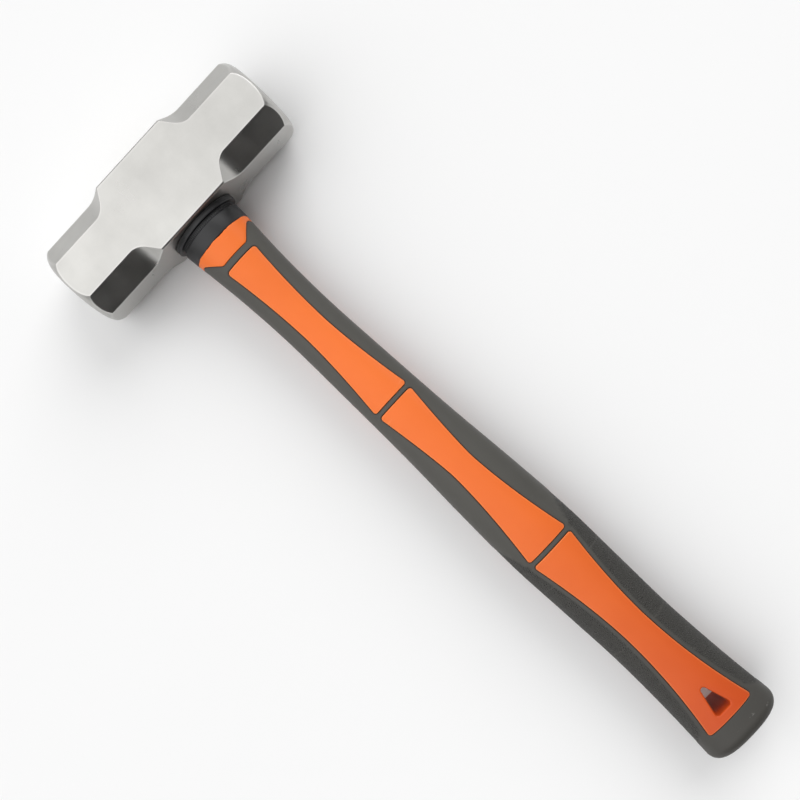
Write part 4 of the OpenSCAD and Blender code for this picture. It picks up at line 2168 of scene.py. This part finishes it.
@dataclass(frozen=True)
class Studio:
    """Pale floor, a soft dome of light and a camera almost straight above the hammer."""

    camera_from: Triple = (160.7, 17.7, 513.0)
    right: Triple = (0.73158, 0.68003, -0.04851)
    up: Triple = (-0.68070, 0.73255, 0.00353)
    angle: float = math.radians(38.88)
    floor_size: float = 80.0
    backdrop: float = 0.947
    overhead: Glow = Glow((-0.3, -0.6, 1.0), (math.radians(61.0), math.radians(20.0)), (0.03, 1.85))
    low_fill: Glow = Glow((1.0, 0.0, 0.22), (math.radians(28.0), math.radians(66.0)), (0.0, 0.32))
    key_from: Triple = (-0.8, 1.1, 1.0)
    key_spread: float = math.radians(45.0)
    key_power: float = 1.5
    finish: PaleFloor = PaleFloor()

    def floor(self) -> Piece:
        """Lays the floor.

        Returns:
            The floor, a single face on the plane the hammer lies on.
        """
        half = self.floor_size / 2
        corners = [(-half, -half, 0.0), (half, -half, 0.0), (half, half, 0.0), (-half, half, 0.0)]
        mesh = bpy.data.meshes.new("studio_floor")
        mesh.from_pydata(corners, [], [(0, 1, 2, 3)])
        return paint(add_object("studio_floor", mesh), self.finish.build())

    def key(self) -> None:
        """Adds a distant soft light from the side, even over the whole floor."""
        data = bpy.data.lights.new("key", "SUN")
        data.angle = self.key_spread
        data.energy = self.key_power
        add_object("key", data).rotation_euler = (-Vector(self.key_from)).to_track_quat("-Z", "Y").to_euler()

    def sky(self) -> bpy.types.World:
        """Makes the light from above, bright overhead and dim near the horizon.

        Returns:
            The world, which shows as a plain pale backdrop behind the floor.
        """
        world = bpy.data.worlds.new("studio")
        world.use_nodes = True
        tree = world.node_tree
        pale, light = tree.nodes["Background"], tree.nodes.new("ShaderNodeBackground")
        pale.inputs["Color"].default_value = (self.backdrop, self.backdrop, self.backdrop, 1.0)
        way = tree.nodes.new("ShaderNodeTexCoord").outputs["Generated"]
        total = tree.nodes.new("ShaderNodeMath")
        seen = tree.nodes.new("ShaderNodeLightPath").outputs["Is Camera Ray"]
        mix = tree.nodes.new("ShaderNodeMixShader")
        for source, target in (
            (self.overhead.add(tree, way), total.inputs[0]),
            (self.low_fill.add(tree, way), total.inputs[1]),
            (total.outputs["Value"], light.inputs["Strength"]),
            (seen, mix.inputs["Fac"]),
            (light.outputs["Background"], mix.inputs[1]),
            (pale.outputs["Background"], mix.inputs[2]),
            (mix.outputs["Shader"], tree.nodes["World Output"].inputs["Surface"]),
        ):
            tree.links.new(source, target)
        return world

    def camera(self) -> Piece:
        """Sets up the camera.

        Returns:
            The camera.
        """
        right = Vector(self.right).normalized()
        back = right.cross(Vector(self.up)).normalized()
        data = bpy.data.cameras.new("camera")
        data.angle = self.angle
        camera = add_object("camera", data)
        turn = Matrix((right, back.cross(right), back)).transposed().to_4x4()
        camera.matrix_world = Matrix.Translation(Vector(SPACE.place(np.array(self.camera_from)))) @ turn
        return camera

    def build(self) -> None:
        """Builds the floor, lights, world and camera."""
        scene = bpy.context.scene
        self.floor()
        self.key()
        scene.world = self.sky()
        scene.view_settings.view_transform = "Standard"
        scene.camera = self.camera()


# ---- assembly -----------------------------------------------------------------------------


def mount(piece: Piece, node: str | None) -> None:
    """Puts a piece on the hammer's body, lets it stand for its CAD node and reports it.

    Args:
        piece: Finished piece.
        node: CAD node it stands for, if any.
    """
    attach(piece, BODY)
    if node:
        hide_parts(node)
    LOG.info("%s: %d faces, stands for %s", piece.name, len(piece.data.polygons), node)


def main() -> None:
    """Builds every piece of the hammer, then the studio."""
    logging.basicConfig(level=logging.INFO, format="%(name)s %(message)s")
    filling = EyeFilling()
    mount(ForgedHead().build(), "hammer_head")
    mount(filling.build_resin(), "eye_resin")
    mount(filling.build_rod(), "fibreglass_core")
    collar = COLLAR.build()
    mount(collar, "head_collar")
    mount(GrooveRibs().build(collar.data.materials[0]), None)
    mount(InnerHandle().build(), "inner_handle")
    skin, palm_zone = GripSleeve().build()
    mount(skin, "grip_sleeve")
    mount(PalmGrain().build(palm_zone), None)
    Studio().build()


if __name__ == "__main__":
    main()
